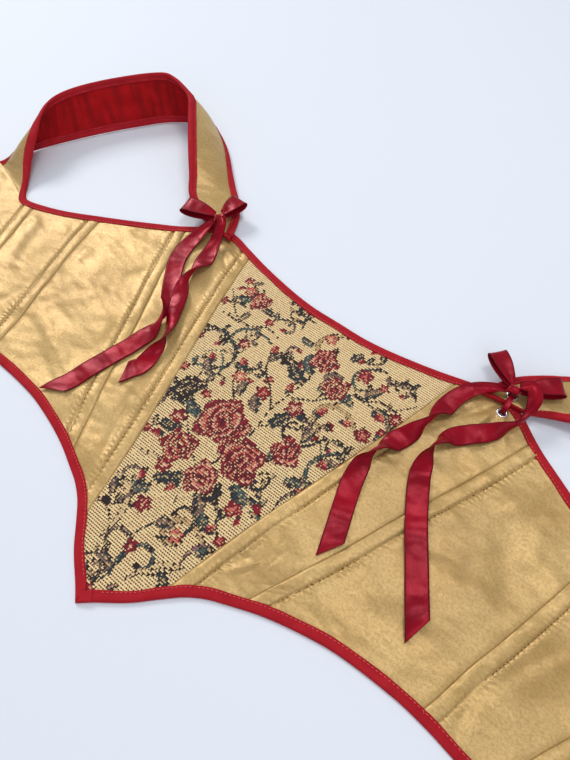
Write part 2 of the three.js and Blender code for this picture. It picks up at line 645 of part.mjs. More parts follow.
// The fold of binding round an edge of the strap, as distances in from the edge and out from the middle
const STRAP_FOLD = { face: 1.9, back: -1.8, inside: 1.4, side: 1.3 };
function strapFold(width) {
  const { face, back, inside, side } = STRAP_FOLD;
  return [
    [0, back], [0, face], [width, face], [width, inside],
    [side, inside], [side, -inside], [width, -inside], [width, back],
  ];
}

function addStrap(side) {
  const name = sideName(side);
  const place = strapFrame(side);
  const endInset = STRAP_INSET / FIRST_ROW_LENGTH;
  const hole = [{ x: STRAP_EYELET.x + (side < 0 ? RIGHT_STRAP_SHIFT[0] : 0), y: STRAP_EYELET.y }];
  const satin = strapLayer(place, SATIN, endInset);
  addPiece(`strap_${name}`, onSide(withHoles(satin, hole), side), 'satin');
  const lining = strapLayer(place, LINING, endInset);
  addPiece(`strap_lining_${name}`, onSide(withHoles(lining, hole), side), 'lining');

  const fold = strapFold(BINDING_WIDTH);
  const edgeStart = (END_BINDING_WIDTH + GAP) / FIRST_ROW_LENGTH;
  for (const [edge, sign] of [['neck', 1], ['armhole', -1]]) {
    const sections = [];
    for (let i = 0; i <= LAST_ROW; i += 1) {
      const row = i === 0 ? edgeStart : i;
      sections.push(fold.map(([inset, out]) => place(row, sign * Math.max(inset, 1e-4), out)));
    }
    addPiece(`strap_${edge}_binding_${name}`, onSide(sweep(sections, fold), side), 'binding');
  }
  const endFold = strapFold(END_BINDING_WIDTH);
  const ends = [];
  for (let i = 0; i <= 4; i += 1) {
    const across = THREE.MathUtils.lerp(0.4, strapWidth(0) - 0.4, i / 4);
    ends.push(endFold.map(([inset, out]) => place(inset / FIRST_ROW_LENGTH, across, out)));
  }
  addPiece(`strap_end_binding_${name}`, onSide(sweep(ends, endFold), side), 'binding');
}

// Eyelets: a rolled flange on the face and a barrel through the cloth
function eyelet(x, y, foot, seat) {
  const profile = [
    [EYELET_BORE, foot], [EYELET_BARREL, foot], [EYELET_BARREL, seat], [EYELET_FLANGE, seat],
    [EYELET_FLANGE - 0.5, seat + 0.8 * EYELET_RISE], [EYELET_BORE, seat + EYELET_RISE], [EYELET_BORE, foot],
  ].map(([radius, z]) => new THREE.Vector2(radius, z));
  const geometry = new THREE.LatheGeometry(profile, EYELET_SIDES);
  geometry.rotateX(Math.PI / 2);
  geometry.translate(x, y, 0);
  return welded(geometry);
}

// Each eyelet's foot and seat; the folds at the front one and the binding at the strap's lift theirs
function addEyelets(side) {
  const name = sideName(side);
  const strapX = STRAP_EYELET.x + (side < 0 ? RIGHT_STRAP_SHIFT[0] : 0);
  const strapMiddle = STRAP[0].neck[2];
  const [frontLift, strapLift] = [0.75, 2.2];
  const front = eyelet(FRONT_EYELET.x, FRONT_EYELET.y, 0.2, CLOTH + frontLift);
  addPiece(`front_eyelet_${name}`, onSide(front, side), 'eyelet');
  const strap = eyelet(strapX, STRAP_EYELET.y, strapMiddle - 1.2, strapMiddle + strapLift);
  addPiece(`strap_eyelet_${name}`, onSide(strap, side), 'eyelet');
  lacingPlaces().forEach(({ x, y }, i) => {
    const lacing = eyelet(x, y, 0.1, CLOTH + GAP);
    addPiece(`lacing_eyelet_${name}_${i + 1}`, onSide(lacing, side), 'eyelet');
  });
}

// A ribbon's section, as shares of its half width and half thickness
const RIBBON_SECTION = [[-1, -1], [1, -1], [1, 1], [-1, 1]];

// The direction of a line of points at one of them
function directionAt(line, i) {
  return line[Math.min(i + 1, line.length - 1)].clone().sub(line[Math.max(i - 1, 0)]).normalize();
}

// The section's corners about a point, across the ribbon and through it
function sectionAt(point, across, normal, width, wall) {
  return RIBBON_SECTION.map(([u, v]) => {
    const corner = point.clone().addScaledVector(across, (u * width) / 2).addScaledVector(normal, (v * wall) / 2);
    return corner.toArray();
  });
}

// A flat ribbon along a line of points, with its width and its turn about that line at each of them
function ribbonBand(points, widths, turns) {
  const line = points.map((p) => new THREE.Vector3(...p));
  const upward = new THREE.Vector3(0, 0, 1);
  let crosswise = new THREE.Vector3();
  const sections = line.map((point, i) => {
    const along = directionAt(line, i);
    const level = along.clone().cross(upward);
    crosswise = level.length() > 0.15 ? level.normalize() : crosswise.clone();
    const turned = crosswise.clone().applyAxisAngle(along, THREE.MathUtils.degToRad(turns[i]));
    const normal = along.clone().cross(turned).normalize();
    return sectionAt(point, turned, normal, widths[i], RIBBON_WALL);
  });
  return facingOut(sweep(sections, RIBBON_SECTION));
}

function ribbonLoop(knot, loop) {
  const upward = new THREE.Vector3(0, 0, 1);
  const reach = new THREE.Vector3(loop.end[0] - knot[0], loop.end[1] - knot[1], 0);
  const length = reach.length();
  reach.normalize();
  const crosswise = upward.clone().cross(reach);
  const start = KNOT_RADII[0] - 0.2;
  const line = LOOP.map((row) => {
    const out = start + (length - start) * row.reach;
    const up = knot[2] + (loop.end[2] - knot[2]) * row.reach + row.up;
    return new THREE.Vector3(knot[0], knot[1], up).addScaledVector(reach, out);
  });
  const sections = line.map((point, i) => {
    const normal = crosswise.clone().cross(directionAt(line, i));
    return sectionAt(point, crosswise, normal, LOOP[i].width * loop.width, RIBBON_WALL);
  });
  return facingOut(sweep(sections, RIBBON_SECTION));
}

// The stretch of ribbon that ties the two eyelets together, under the knot
function ribbonTie(side) {
  const shift = side < 0 ? RIGHT_STRAP_SHIFT[0] : 0;
  const path = [
    [FRONT_EYELET.x, FRONT_EYELET.y, 0.8], [FRONT_EYELET.x, FRONT_EYELET.y, 6.5],
    [FRONT_EYELET.x - 0.2, FRONT_EYELET.y + 2.6, 9.4], [STRAP_EYELET.x + shift + 0.2, STRAP_EYELET.y - 2.6, 10.2],
    [STRAP_EYELET.x + shift, STRAP_EYELET.y, 8.8], [STRAP_EYELET.x + shift, STRAP_EYELET.y, 4.6],
  ].map((p) => new THREE.Vector3(...p));
  const crosswise = new THREE.Vector3(1, 0, 0);
  const sections = path.map((point, i) => {
    const normal = directionAt(path, i).cross(crosswise).normalize();
    return sectionAt(point, crosswise, normal, TIE.width, TIE.wall);
  });
  return onSide(sweep(sections, RIBBON_SECTION), side);
}

function addBow({ side, knot, loops }) {
  const name = sideName(side);
  addPiece(`ribbon_tie_${name}`, ribbonTie(side), 'ribbon');
  const ball = new THREE.SphereGeometry(1, 8, 6);
  ball.scale(...KNOT_RADII);
  ball.translate(...knot);
  addPiece(`ribbon_knot_${name}`, welded(ball), 'ribbon');
  for (const loop of loops) {
    addPiece(`ribbon_loop_${name}_${loop.name}`, ribbonLoop(knot, loop), 'ribbon');
  }
}

function addTail({ name, rows }) {
  const points = rows.map(([x, y, z]) => [x, y, z]);
  const widths = rows.map((row) => row[3]);
  const turns = rows.map((row) => row[4]);
  addPiece(name, ribbonBand(points, widths, turns), 'ribbon');
}

addStomacher();
for (const side of [1, -1]) {
  addPanels(side);
  addStrap(side);
  addEyelets(side);
}
addFlatBindings();
BOWS.forEach(addBow);
TAILS.forEach(addTail);

export default bodice;
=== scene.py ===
"""A renaissance bodice laid open, face up, on a pale table.

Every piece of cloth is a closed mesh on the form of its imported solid, in metres and in the same frame.
Sizes in the tables are millimetres from the front point: x to the wearer's left, y up the centre front.
"""
import logging
import math
from dataclasses import dataclass, field
from enum import Enum
from typing import Any, Callable, Sequence

import bmesh
import bpy
import numpy as np
from mathutils import Matrix, Vector


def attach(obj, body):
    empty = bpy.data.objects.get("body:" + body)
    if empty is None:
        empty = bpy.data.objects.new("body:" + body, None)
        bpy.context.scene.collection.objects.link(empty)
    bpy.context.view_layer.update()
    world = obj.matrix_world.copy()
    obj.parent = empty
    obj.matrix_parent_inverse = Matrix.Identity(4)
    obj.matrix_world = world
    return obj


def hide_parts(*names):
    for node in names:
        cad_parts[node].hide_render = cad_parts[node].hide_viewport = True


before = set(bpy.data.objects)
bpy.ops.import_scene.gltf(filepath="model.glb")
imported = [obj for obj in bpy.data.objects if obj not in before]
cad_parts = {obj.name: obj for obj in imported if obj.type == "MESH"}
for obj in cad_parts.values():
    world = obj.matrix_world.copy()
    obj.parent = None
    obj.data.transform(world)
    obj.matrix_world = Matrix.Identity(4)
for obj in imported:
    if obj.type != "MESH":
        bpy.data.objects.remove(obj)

LOG = logging.getLogger("bodice")
Array = np.ndarray
Row = tuple[float, ...]
Piece = bpy.types.Object
Finish = bpy.types.Material

MM = 0.001
POINT_Y = -207.48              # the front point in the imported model's frame
CLOTH = 2.0                    # a panel's thickness with its interlining
BINDING_WIDTH = 7.2
BINDING_TOP = 3.0
PANEL_INSET = 2.6              # from a bound edge to the cloth inside the binding
STRAP_INSET = 1.8
END_BINDING_WIDTH = 3.6
RIBBON_WIDTH = 16.0
CLOTH_UV = "cloth"             # every piece's own map: across and along, in metres
MOTIF = "motif"                # the tapestry's woven colours

TOP_EDGE = (
    (0, 287.5), (25, 287.5), (45, 289.5), (68, 293.5), (91, 298.5), (115, 305), (131, 309.5), (143, 310),
    (155, 306.5), (166, 300), (177, 291.5), (188, 284), (202, 276), (227, 262), (250, 250), (286, 232),
    (318, 221), (334, 218.5),
)
HEM_EDGE = (
    (0, 0), (8, 7), (27, 22), (42, 37), (52, 46.5), (63, 54), (76, 60), (98, 69), (124, 76.5), (150, 81.5),
    (190, 83.5), (213, 82), (234, 79), (275, 73), (320, 69), (362, 67),
)
NECK_CORNER = 143.0
ARMHOLE_CORNER = (334.0, 218.5)
STRAP_ROOT = (396.0, 238.0)
BACK_NECK = (430.0, 226.0)
BACK_HEM = (362.0, 67.0)

# Seams of one half, x at each y
SEAMS = {
    "tapestry": ((40, 39), (98, 52.3), (165, 71), (247, 94.5), (300, 107.5)),
    "front": ((66, 83), (95, 96), (130, 112), (180, 132.5), (235, 157), (290, 178.5)),
    "side_front": ((80, 203), (97, 209), (127, 217), (155, 226), (212, 242.5), (247, 251)),
    "side": ((70, 252), (109, 268.5), (133, 281), (161, 294.5), (213, 314), (222, 317)),
    "centre_back": ((67, 362), (226, 430)),
}
CHANNEL_SEAMS = ("tapestry", "front", "side_front", "side")

# The standing strap's sections: neck edge, armhole edge, and how far the satin swells between them
STRAP = (
    ((125, 298.5, 5.4), (164, 304.5, 5.4), 0), ((139, 326, 4.2), (180, 311, 8), 0.5),
    ((158, 345, 3.0), (196, 317, 12), 1), ((178, 359, 2.6), (210, 331, 20), 2),
    ((198, 375, 2.3), (224, 345, 28.5), 3), ((218, 392, 2.0), (240, 363, 36), 4),
    ((236, 404, 1.8), (255, 380, 41), 4), ((254, 412, 1.5), (270, 396, 44), 4),
    ((272, 413, 1.3), (285, 403, 46), 3), ((288, 407, 1.3), (300, 407, 47), 2),
    ((300, 398, 1.3), (314, 408, 46.5), 1), ((311, 387, 1.4), (328, 399, 45.5), 0.5),
    ((323, 371, 1.5), (343, 382, 45), 0.5), ((338, 350, 1.6), (359, 360, 44.5), 0.5),
    ((353, 327, 1.6), (371, 337, 44.5), 0.5), ((366, 305, 1.5), (377, 318, 44), 1),
    ((376, 288, 1.3), (376, 302, 43), 3), ((383, 274, 1.5), (369, 286, 40), 5),
    ((388, 261, 1.8), (360, 269, 31), 7), ((391, 250, 2.0), (354, 253, 18.5), 6),
    ((393.5, 242, 2.1), (345, 236, 7), 2), ((396, 238, 2.2), (334.4, 219.5, 2.2), 0),
)
RIGHT_STRAP_SHIFT = (7.0, 6.0, 4.0, 1.5)
FRONT_EYELET = (148.0, 295.5)
STRAP_EYELET = (147.0, 310.8)
LACING_EYELETS = 7
LACING_INSET = 13.0


class Side(Enum):
    """The wearer's left, which is +X, and right."""

    LEFT = 1
    RIGHT = -1

    @property
    def word(self) -> str:
        """The side's name inside a piece's name."""
        return self.name.lower()

    @property
    def shift(self) -> float:
        """How much farther out this side's strap ends."""
        return RIGHT_STRAP_SHIFT[0] if self is Side.RIGHT else 0.0


# Geometry helpers


class TableCurve:
    """A smooth curve through the rows of a short table."""

    def __init__(self, rows: Sequence[Row]) -> None:
        """Keeps the rows.

        Args:
            rows: pairs of key and value, with rising keys.
        """
        self.keys, self.values = np.array(rows, float).T
        before = np.clip(np.arange(len(self.keys)) - 1, 0, None)
        after = np.clip(np.arange(len(self.keys)) + 1, None, len(self.keys) - 1)
        self.slopes = (self.values[after] - self.values[before]) / (self.keys[after] - self.keys[before])

    def __call__(self, key: Array | float) -> Array:
        """The value at each key, straight on past both ends.

        Args:
            key: where the curve is read.

        Returns:
            Its value at each of them.
        """
        key = np.asarray(key, float)
        i = np.clip(np.searchsorted(self.keys, key) - 1, 0, len(self.keys) - 2)
        span = self.keys[i + 1] - self.keys[i]
        t = (key - self.keys[i]) / span
        smooth = t * t * (3 - 2 * t)
        ease = span * t * (1 - t) * ((1 - t) * self.slopes[i] - t * self.slopes[i + 1])
        inside = self.values[i] * (1 - smooth) + self.values[i + 1] * smooth + ease
        low = self.values[i] + t * span * self.slopes[i]
        high = self.values[i + 1] + (t - 1) * span * self.slopes[i + 1]
        return np.where(t < 0, low, np.where(t > 1, high, inside))


def spline(table: Array, place: Array) -> Array:
    """A smooth line through the rows of a table.

    Args:
        table: one row of numbers for each knot.
        place: where on the line, counted in rows.

    Returns:
        One row of numbers for each place.
    """
    last = len(table) - 1
    i = np.clip(place.astype(int), 0, last - 1)
    t = (place - i)[:, None]
    a, b, c, d = (table[np.clip(i + k, 0, last)] for k in (-1, 0, 1, 2))
    return b + 0.5 * t * (c - a + t * (2 * a - 5 * b + 4 * c - d + t * (3 * (b - c) + d - a)))


def line_through(rows: Sequence[Row], between: int) -> Array:
    """A smooth line through a table's rows, in equal steps from each row to the next."""
    table = np.array(rows, float)
    return spline(table, np.linspace(0, len(table) - 1, (len(table) - 1) * between + 1))


def unit(vectors: Array) -> Array:
    """The vectors at length one."""
    return vectors / np.linalg.norm(vectors, axis=-1, keepdims=True)


def bell(distance: Array, reach: float) -> Array:
    """A soft hump, 1 at no distance and nearly 0 past twice the reach."""
    return np.exp(-((distance / reach) ** 2))


def run_length(points: Array) -> Array:
    """How far along a line of points each of them is."""
    steps = np.linalg.norm(np.diff(points, axis=0), axis=1)
    return np.concatenate([[0.0], np.cumsum(steps)])


HEM = TableCurve(HEM_EDGE)
FRONT_TOP = TableCurve(TOP_EDGE)
SEAM = {name: TableCurve(rows) for name, rows in SEAMS.items()}


def top_edge(x: Array) -> Array:
    """The neckline, armhole and back neckline of one half, y at each x.

    Args:
        x: distances from the middle.

    Returns:
        The edge's y at each of them.
    """
    (ax, ay), (rx, ry), (bx, by) = ARMHOLE_CORNER, STRAP_ROOT, BACK_NECK
    x = np.asarray(x, float)
    straight = np.interp(x, [ax, rx, bx], [ay, ry, by])
    return np.where(x <= ax, FRONT_TOP(x), straight)


def lean(curve: Callable[[Array], Array], x: Array) -> Array:
    """How much longer a step along the table's values is than the same step square to the curve."""
    return np.hypot(1, curve(x + 0.5) - curve(x - 0.5))


def hem_inside(x: Array, inset: float) -> Array:
    """The line at a distance inside the hem."""
    return HEM(x) + inset * lean(HEM, np.maximum(x, 0.6))


def top_inside(x: Array, inset: float) -> Array:
    """The line at a distance inside the top edge; at the strap's root it runs just under the strap."""
    on_root = (x > ARMHOLE_CORNER[0] + 2) & (x < STRAP_ROOT[0] - 1)
    return top_edge(x) - np.where(on_root, -0.4, inset) * lean(top_edge, x)


def seam_distance(name: str, x: Array, y: Array) -> Array:
    """How far outward of a seam each place is, in the half where x is positive."""
    return (x - SEAM[name](y)) / lean(SEAM[name], y)


def seam_line(name: str, shift: float) -> Callable[[Array], tuple[Array, Array]]:
    """A seam from hem to top edge.

    Args:
        name: the seam's name in SEAMS.
        shift: how far outward of the seam the line runs.

    Returns:
        A function from the share of the seam's height to x and y.
    """
    curve = SEAM[name]

    def place(y: Array) -> Array:
        """The line's x at each height."""
        return curve(y) + shift * lean(curve, y)

    foot, head = SEAMS[name][0][0], SEAMS[name][-1][0]
    for _ in range(30):
        foot = hem_inside(place(foot), PANEL_INSET)
        head = top_inside(place(head), PANEL_INSET)

    def line(t: Array) -> tuple[Array, Array]:
        """The line's x and y at each share of its height."""
        y = foot + (head - foot) * t
        return place(y), y

    return line


# Relief of the cloth


@dataclass(frozen=True)
class Fold:
    """One soft trough or ridge: its middle, turn in degrees, half length, half width and height."""

    side: int
    x: float
    y: float
    turn: float
    long: float
    wide: float
    lift: float

    def height(self, x: Array, y: Array) -> Array:
        """The fold's height at each place of its half.

        Args:
            x: places across.
            y: places up.

        Returns:
            The fold's height at each of them.
        """
        turn = math.radians(self.turn)
        dx, dy = x - self.x, y - self.y
        along = (dx * math.cos(turn) + dy * math.sin(turn)) / self.long
        across = (-dx * math.sin(turn) + dy * math.cos(turn)) / self.wide
        return 2.5 * self.lift * np.exp(-along**2 - across**2)


FOLDS = tuple(Fold(*row) for row in (
    (1, 134, 268, 62, 34, 9, 0.8), (1, 118, 276, 40, 26, 8, -0.5), (1, 74, 108, 100, 34, 9, -0.7),
    (1, 185, 150, 35, 60, 20, 0.6), (1, 262, 190, 60, 44, 16, 0.6),
    (-1, 128, 262, 80, 30, 10, 0.7), (-1, 190, 180, 20, 50, 22, 0.6),
    (-1, 266, 165, 75, 46, 16, 0.6),
    # Finer creases: from the eyelets, beside the channels and in the wide panels
    (1, 140, 283, 75, 16, 2.2, 0.55), (1, 131, 281, 58, 17, 2.4, -0.5),
    (1, 126, 272, 48, 22, 3.0, 0.45), (1, 146, 274, 96, 18, 3.4, -0.45),
    (1, 155, 284, 120, 14, 2.6, 0.4), (1, 116, 252, 60, 26, 5, 0.4),
    (1, 66, 92, 62, 17, 2.6, -0.6), (1, 72, 88, 55, 15, 2.4, 0.5),
    (1, 80, 98, 66, 14, 2.6, -0.4), (1, 96, 88, 28, 16, 2.4, -0.5),
    (1, 103, 112, 40, 20, 4, 0.35), (1, 170, 118, 12, 40, 7, -0.45),
    (1, 158, 200, 50, 34, 8, 0.4), (1, 206, 190, 118, 36, 9, -0.4),
    (1, 190, 238, 70, 30, 7, 0.4), (1, 226, 110, 96, 22, 4, -0.35),
    (1, 244, 150, 62, 34, 6, -0.4), (1, 284, 118, 52, 36, 8, 0.4),
    (1, 330, 150, 70, 40, 9, 0.4), (1, 366, 120, 58, 30, 8, -0.35),
    (-1, 138, 280, 70, 15, 2.4, 0.5), (-1, 130, 284, 35, 14, 2.2, -0.5),
    (-1, 142, 270, 100, 17, 3, -0.4), (-1, 120, 288, 20, 14, 2.4, 0.35),
    (-1, 104, 250, 66, 26, 5, 0.3), (-1, 96, 150, 74, 30, 5, 0.3),
    (-1, 76, 106, 66, 22, 3.4, -0.4), (-1, 170, 230, 112, 30, 7, -0.4),
    (-1, 186, 130, 24, 40, 8, 0.4), (-1, 232, 214, 70, 26, 6, 0.35),
    (-1, 240, 140, 100, 30, 6, -0.35), (-1, 292, 190, 66, 30, 7, -0.4),
    (-1, 334, 160, 84, 38, 9, 0.4), (-1, 372, 150, 60, 32, 8, -0.35),
))
CHANNEL_WIDTH = 10.4           # from the seam to the stitch groove


def channel_profile(d: Array) -> Array:
    """The height of a sewn boning channel, at a distance outward of its seam.

    Args:
        d: distances from the seam.

    Returns:
        The heights.
    """
    dome = np.clip(1 - np.abs((d - 5.2) / 5.0) ** 2.4, 0, None) ** 0.8
    dip = np.where(d < 0, 0.45 * bell(d, 1.8), 0.5 * bell(d, 0.8))
    return 0.8 * dome - dip - 1.3 * bell(d - CHANNEL_WIDTH, 0.95) + 0.14 * bell(d - 13.6, 2.0)


def pucker(d: Array, along: Array) -> Array:
    """The small ripples that the stitching pulls on both sides of a channel's groove.

    Args:
        d: distances from the seam.
        along: distances along it.

    Returns:
        The heights.
    """
    wander = 2.2 * np.sin(along / 9.0) + 1.4 * np.sin(along / 4.3 + d / 3.0)
    uneven = 0.65 + 0.35 * np.sin(along / 13.0 + 2.0 * np.sin(along / 29.0))
    strength = 0.42 * bell(d - CHANNEL_WIDTH - 1.6, 2.6) + 0.24 * bell(d - CHANNEL_WIDTH + 1.6, 1.6)
    return strength * uneven * np.sin(2 * math.pi * along / 3.9 + wander)


def soft_waves(x: Array, y: Array) -> Array:
    """The shallow unevenness of laid satin.

    Args:
        x: places across.
        y: places up.

    Returns:
        The heights.
    """
    return (
        0.5 * np.sin(x / 15.3 + y / 24.0 + 1.7 * np.sin(y / 43.0)) * np.sin(y / 17.7 - x / 33.0)
        + 0.15 * np.sin(x / 9.3 + 1.7 * np.sin(y / 31.0)) * np.sin(y / 12.7 + x / 41.0)
        + 0.12 * np.sin(x / 5.1 - y / 14.0 + 1.3 * np.sin(x / 17.0))
        + 0.08 * np.sin(y / 6.3 + 1.9 * np.sin(x / 13.0 + 0.7))
        + 0.05 * np.sin(x / 2.9 + y / 3.7 + 2.1 * np.sin(y / 11.0)) * np.sin(x / 8.1 - y / 6.7)
    )


def relief(side: int, x: Array, y: Array) -> Array:
    """The height of a satin panel's face over its flat thickness.

    Args:
        side: 1 for the wearer's left half and -1 for the right.
        x: places in that half, as positive distances from the centre front.
        y: places up the centre front.

    Returns:
        The heights in millimetres.
    """
    height = soft_waves(side * x, y)
    for name in CHANNEL_SEAMS:
        d = seam_distance(name, x, y)
        height = height + channel_profile(d) + pucker(d, y)
    for fold in FOLDS:
        if fold.side == side:
            height = height + fold.height(x, y)
    return height


def either_relief(x: Array, y: Array) -> Array:
    """The relief on both halves, with x running to the wearer's left."""
    return np.where(x < 0, relief(-1, np.abs(x), y), relief(1, np.abs(x), y))


def from_edge(x: Array, y: Array) -> Array:
    """How far inside the hem and the top edge each place of a half is."""
    from_hem = (y - HEM(x)) / lean(HEM, np.maximum(x, 0.6))
    return np.minimum(from_hem, (top_edge(x) - y) / lean(top_edge, x))


def edge_fade(x: Array, y: Array) -> Array:
    """How much of the relief is left under the bindings: little at the edge and all past them."""
    return np.clip((from_edge(x, y) - 1.5) / (BINDING_WIDTH - 1.5), 0.25, 1)


def bound_edge(curve: Callable[[Array], Array], inward: int, places: Array, side: int) -> tuple[Array, ...]:
    """An edge of the garment, and how the cloth beside it lifts its binding.

    Args:
        curve: the edge of the left half.
        inward: 1 where the cloth is above the edge, and -1 below it.
        places: x of each place, in the left half unless the edge crosses the middle.
        side: 1, or -1 for the right half.

    Returns:
        The edge's y, the y for each millimetre into the cloth, and the lift.
    """
    reach = np.abs(places)
    edge, stretch = curve(reach), inward * lean(curve, np.maximum(reach, 0.6))
    probe = edge + stretch * (BINDING_WIDTH + 2.5)
    cloth = np.where(seam_distance("tapestry", reach, probe) < 0, 0, either_relief(places * side, probe))
    return edge, stretch, np.clip(cloth, -0.35, 0.95)


# Meshes


def link(thing: Piece) -> None:
    """Puts an object in the scene."""
    bpy.context.scene.collection.objects.link(thing)


def to_row(points: Array) -> Array:
    """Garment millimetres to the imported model's metres."""
    return (points + (0, POINT_Y, 0)) * MM


def new_mesh(name: str, points: Array, faces: Sequence[Sequence[int]], uvs: Array | None = None) -> Piece:
    """A mesh object from garment millimetres.

    Args:
        name: the piece's name.
        points: the corners.
        faces: indices of each face's corners, counter-clockwise from outside.
        uvs: across and along in millimetres for each point.

    Returns:
        The object, at the origin.
    """
    mesh = bpy.data.meshes.new(name)
    mesh.from_pydata(to_row(points).tolist(), [], faces)
    if uvs is not None:
        layer = mesh.uv_layers.new(name=CLOTH_UV)
        corners = np.empty(len(mesh.loops), np.int32)
        mesh.loops.foreach_get("vertex_index", corners)
        layer.data.foreach_set("uv", (uvs[corners] * MM).astype(np.float32).ravel())
    mesh.update()
    piece = bpy.data.objects.new(name, mesh)
    link(piece)
    mesh.polygons.foreach_set("use_smooth", np.ones(len(mesh.polygons), bool))
    return piece


def rim_of(rows: int, columns: int) -> list[int]:
    """The indices round a grid, counter-clockwise.

    Args:
        rows: number of rows.
        columns: number of columns.

    Returns:
        The rim's points in order.
    """
    low = list(range(columns))
    right = [i * columns + columns - 1 for i in range(1, rows)]
    high = [(rows - 1) * columns + j for j in range(columns - 2, -1, -1)]
    left = [i * columns for i in range(rows - 2, 0, -1)]
    return low + right + high + left


def grid_faces(rows: int, columns: int, start: int = 0, turned: bool = False) -> list[list[int]]:
    """The quads of a grid of points, in row order.

    Args:
        rows: number of rows.
        columns: number of columns.
        start: index of the first point.
        turned: True to face the other way.

    Returns:
        The faces.
    """
    first = start + (np.arange(rows - 1)[:, None] * columns + np.arange(columns - 1)).ravel()
    faces = np.stack([first, first + 1, first + columns + 1, first + columns], 1)
    return (faces[:, ::-1] if turned else faces).tolist()


def on_table(name: str, face: Array, faces: list[Sequence[int]], rim: list[int], uvs: Array) -> Piece:
    """Closes a laid face with a rim and one flat underside of lining on the table.

    Args:
        name: the piece's name.
        face: the face's points.
        faces: its faces.
        rim: the points round it, counter-clockwise.
        uvs: across and along at each point.

    Returns:
        The object; its underside has the second material slot.
    """
    base, count = len(face), len(rim)
    for k, a in enumerate(rim):
        n = (k + 1) % count
        faces.append((a, base + k, base + n, rim[n]))
    faces.append(tuple(base + k for k in reversed(range(count))))
    piece = new_mesh(name, np.vstack([face, face[rim] * (1, 1, 0)]), faces, np.vstack([uvs, uvs[rim]]))
    underside = piece.data.polygons[len(faces) - 1]
    underside.use_smooth = False
    underside.material_index = 1
    return piece


def laid_panel(name: str, top: Array, uvs: Array) -> Piece:
    """A panel that lies flat: its shaped face, its rim, and one flat underside of lining on the table.

    Args:
        name: the piece's name.
        top: a grid of points, rows by columns.
        uvs: across and along at each of them.

    Returns:
        The object; its underside has the second material slot.
    """
    rows, columns = top.shape[:2]
    faces = grid_faces(rows, columns)
    return on_table(name, top.reshape(-1, 3), faces, rim_of(rows, columns), uvs.reshape(-1, 2))


def shell(name: str, outer: Array, inner: Array, uvs: Array) -> Piece:
    """A closed wall between two grids of the same size.

    Args:
        name: the piece's name.
        outer: the face's grid, counter-clockwise from outside.
        inner: the back's grid.
        uvs: across and along at each point of the face.

    Returns:
        The object.
    """
    rows, columns = outer.shape[:2]
    count = rows * columns
    faces = grid_faces(rows, columns) + grid_faces(rows, columns, count, turned=True)
    rim = rim_of(rows, columns)
    for k, a in enumerate(rim):
        b = rim[(k + 1) % len(rim)]
        faces.append((a, count + a, count + b, b))
    points = np.vstack([outer.reshape(-1, 3), inner.reshape(-1, 3)])
    flat = uvs.reshape(-1, 2)
    return new_mesh(name, points, faces, np.vstack([flat, flat]))


def swept(name: str, sections: Array, uvs: Array) -> Piece:
    """A solid along a row of closed sections, capped at both ends.

    Args:
        name: the piece's name.
        sections: stations by corners by three.
        uvs: across and along for each corner of each station.

    Returns:
        The object, with its faces out.
    """
    stations, sides = sections.shape[:2]
    faces = []
    for i in range(stations - 1):
        for k in range(sides):
            a = i * sides + k
            b = i * sides + (k + 1) % sides
            faces.append((a, b, b + sides, a + sides))
    faces.append(tuple(reversed(range(sides))))
    faces.append(tuple((stations - 1) * sides + k for k in range(sides)))
    piece = new_mesh(name, sections.reshape(-1, 3), faces, uvs.reshape(-1, 2))
    return faces_out(piece)


def faces_out(piece: Piece) -> Piece:
    """Turns a closed mesh's faces outward.

    Args:
        piece: the object.

    Returns:
        The same object.
    """
    shape = bmesh.new()
    shape.from_mesh(piece.data)
    if shape.calc_volume(signed=True) < 0:
        bmesh.ops.reverse_faces(shape, faces=shape.faces)
    shape.to_mesh(piece.data)
    shape.free()
    return piece


def mirrored(grid: Array, side: Side) -> Array:
    """A grid of the left half, or its mirror image with the same way round.

    Args:
        grid: points or map of the left half.
        side: the side that it is for.

    Returns:
        The side's grid.
    """
    if side is Side.LEFT:
        return grid
    return grid[:, ::-1] * ((-1, 1, 1) if grid.shape[-1] == 3 else (1, 1))


def deselect() -> None:
    """Leaves nothing selected."""
    if bpy.context.mode != "OBJECT":
        bpy.ops.object.mode_set(mode="OBJECT")
    bpy.ops.object.select_all(action="DESELECT")


def make_active(piece: Piece) -> None:
    """Selects one object alone.

    Args:
        piece: the object.
    """
    deselect()
    piece.select_set(True)
    bpy.context.view_layer.objects.active = piece


def cut_holes(piece: Piece, places: Sequence[Row], radius: float) -> None:
    """Cuts upright round holes.

    Args:
        piece: the piece of cloth.
        places: the holes' middles in garment millimetres.
        radius: the holes' radius in millimetres.
    """
    for x, y in places:
        deselect()
        bpy.ops.mesh.primitive_cylinder_add(
            vertices=24, radius=radius * MM, depth=60 * MM, location=(x * MM, (y + POINT_Y) * MM, 10 * MM),
        )
        punch = bpy.context.active_object
        make_active(piece)
        cut = piece.modifiers.new("eyelet hole", "BOOLEAN")
        cut.operation = "DIFFERENCE"
        cut.solver = "MANIFOLD"
        cut.object = punch
        bpy.ops.object.modifier_apply(modifier=cut.name)
        bpy.data.objects.remove(punch, do_unlink=True)


def dress(piece: Piece, slot: str, *materials: Finish) -> Piece:
    """Gives a piece its materials, and lets it ride on the garment.

    Args:
        piece: the piece.
        slot: the name of a material slot; not used.
        materials: one for each slot of the mesh.

    Returns:
        The piece.
    """
    piece.data.materials.clear()
    for material in materials:
        piece.data.materials.append(material)
    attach(piece, "root")
    return piece


# Shader graphs


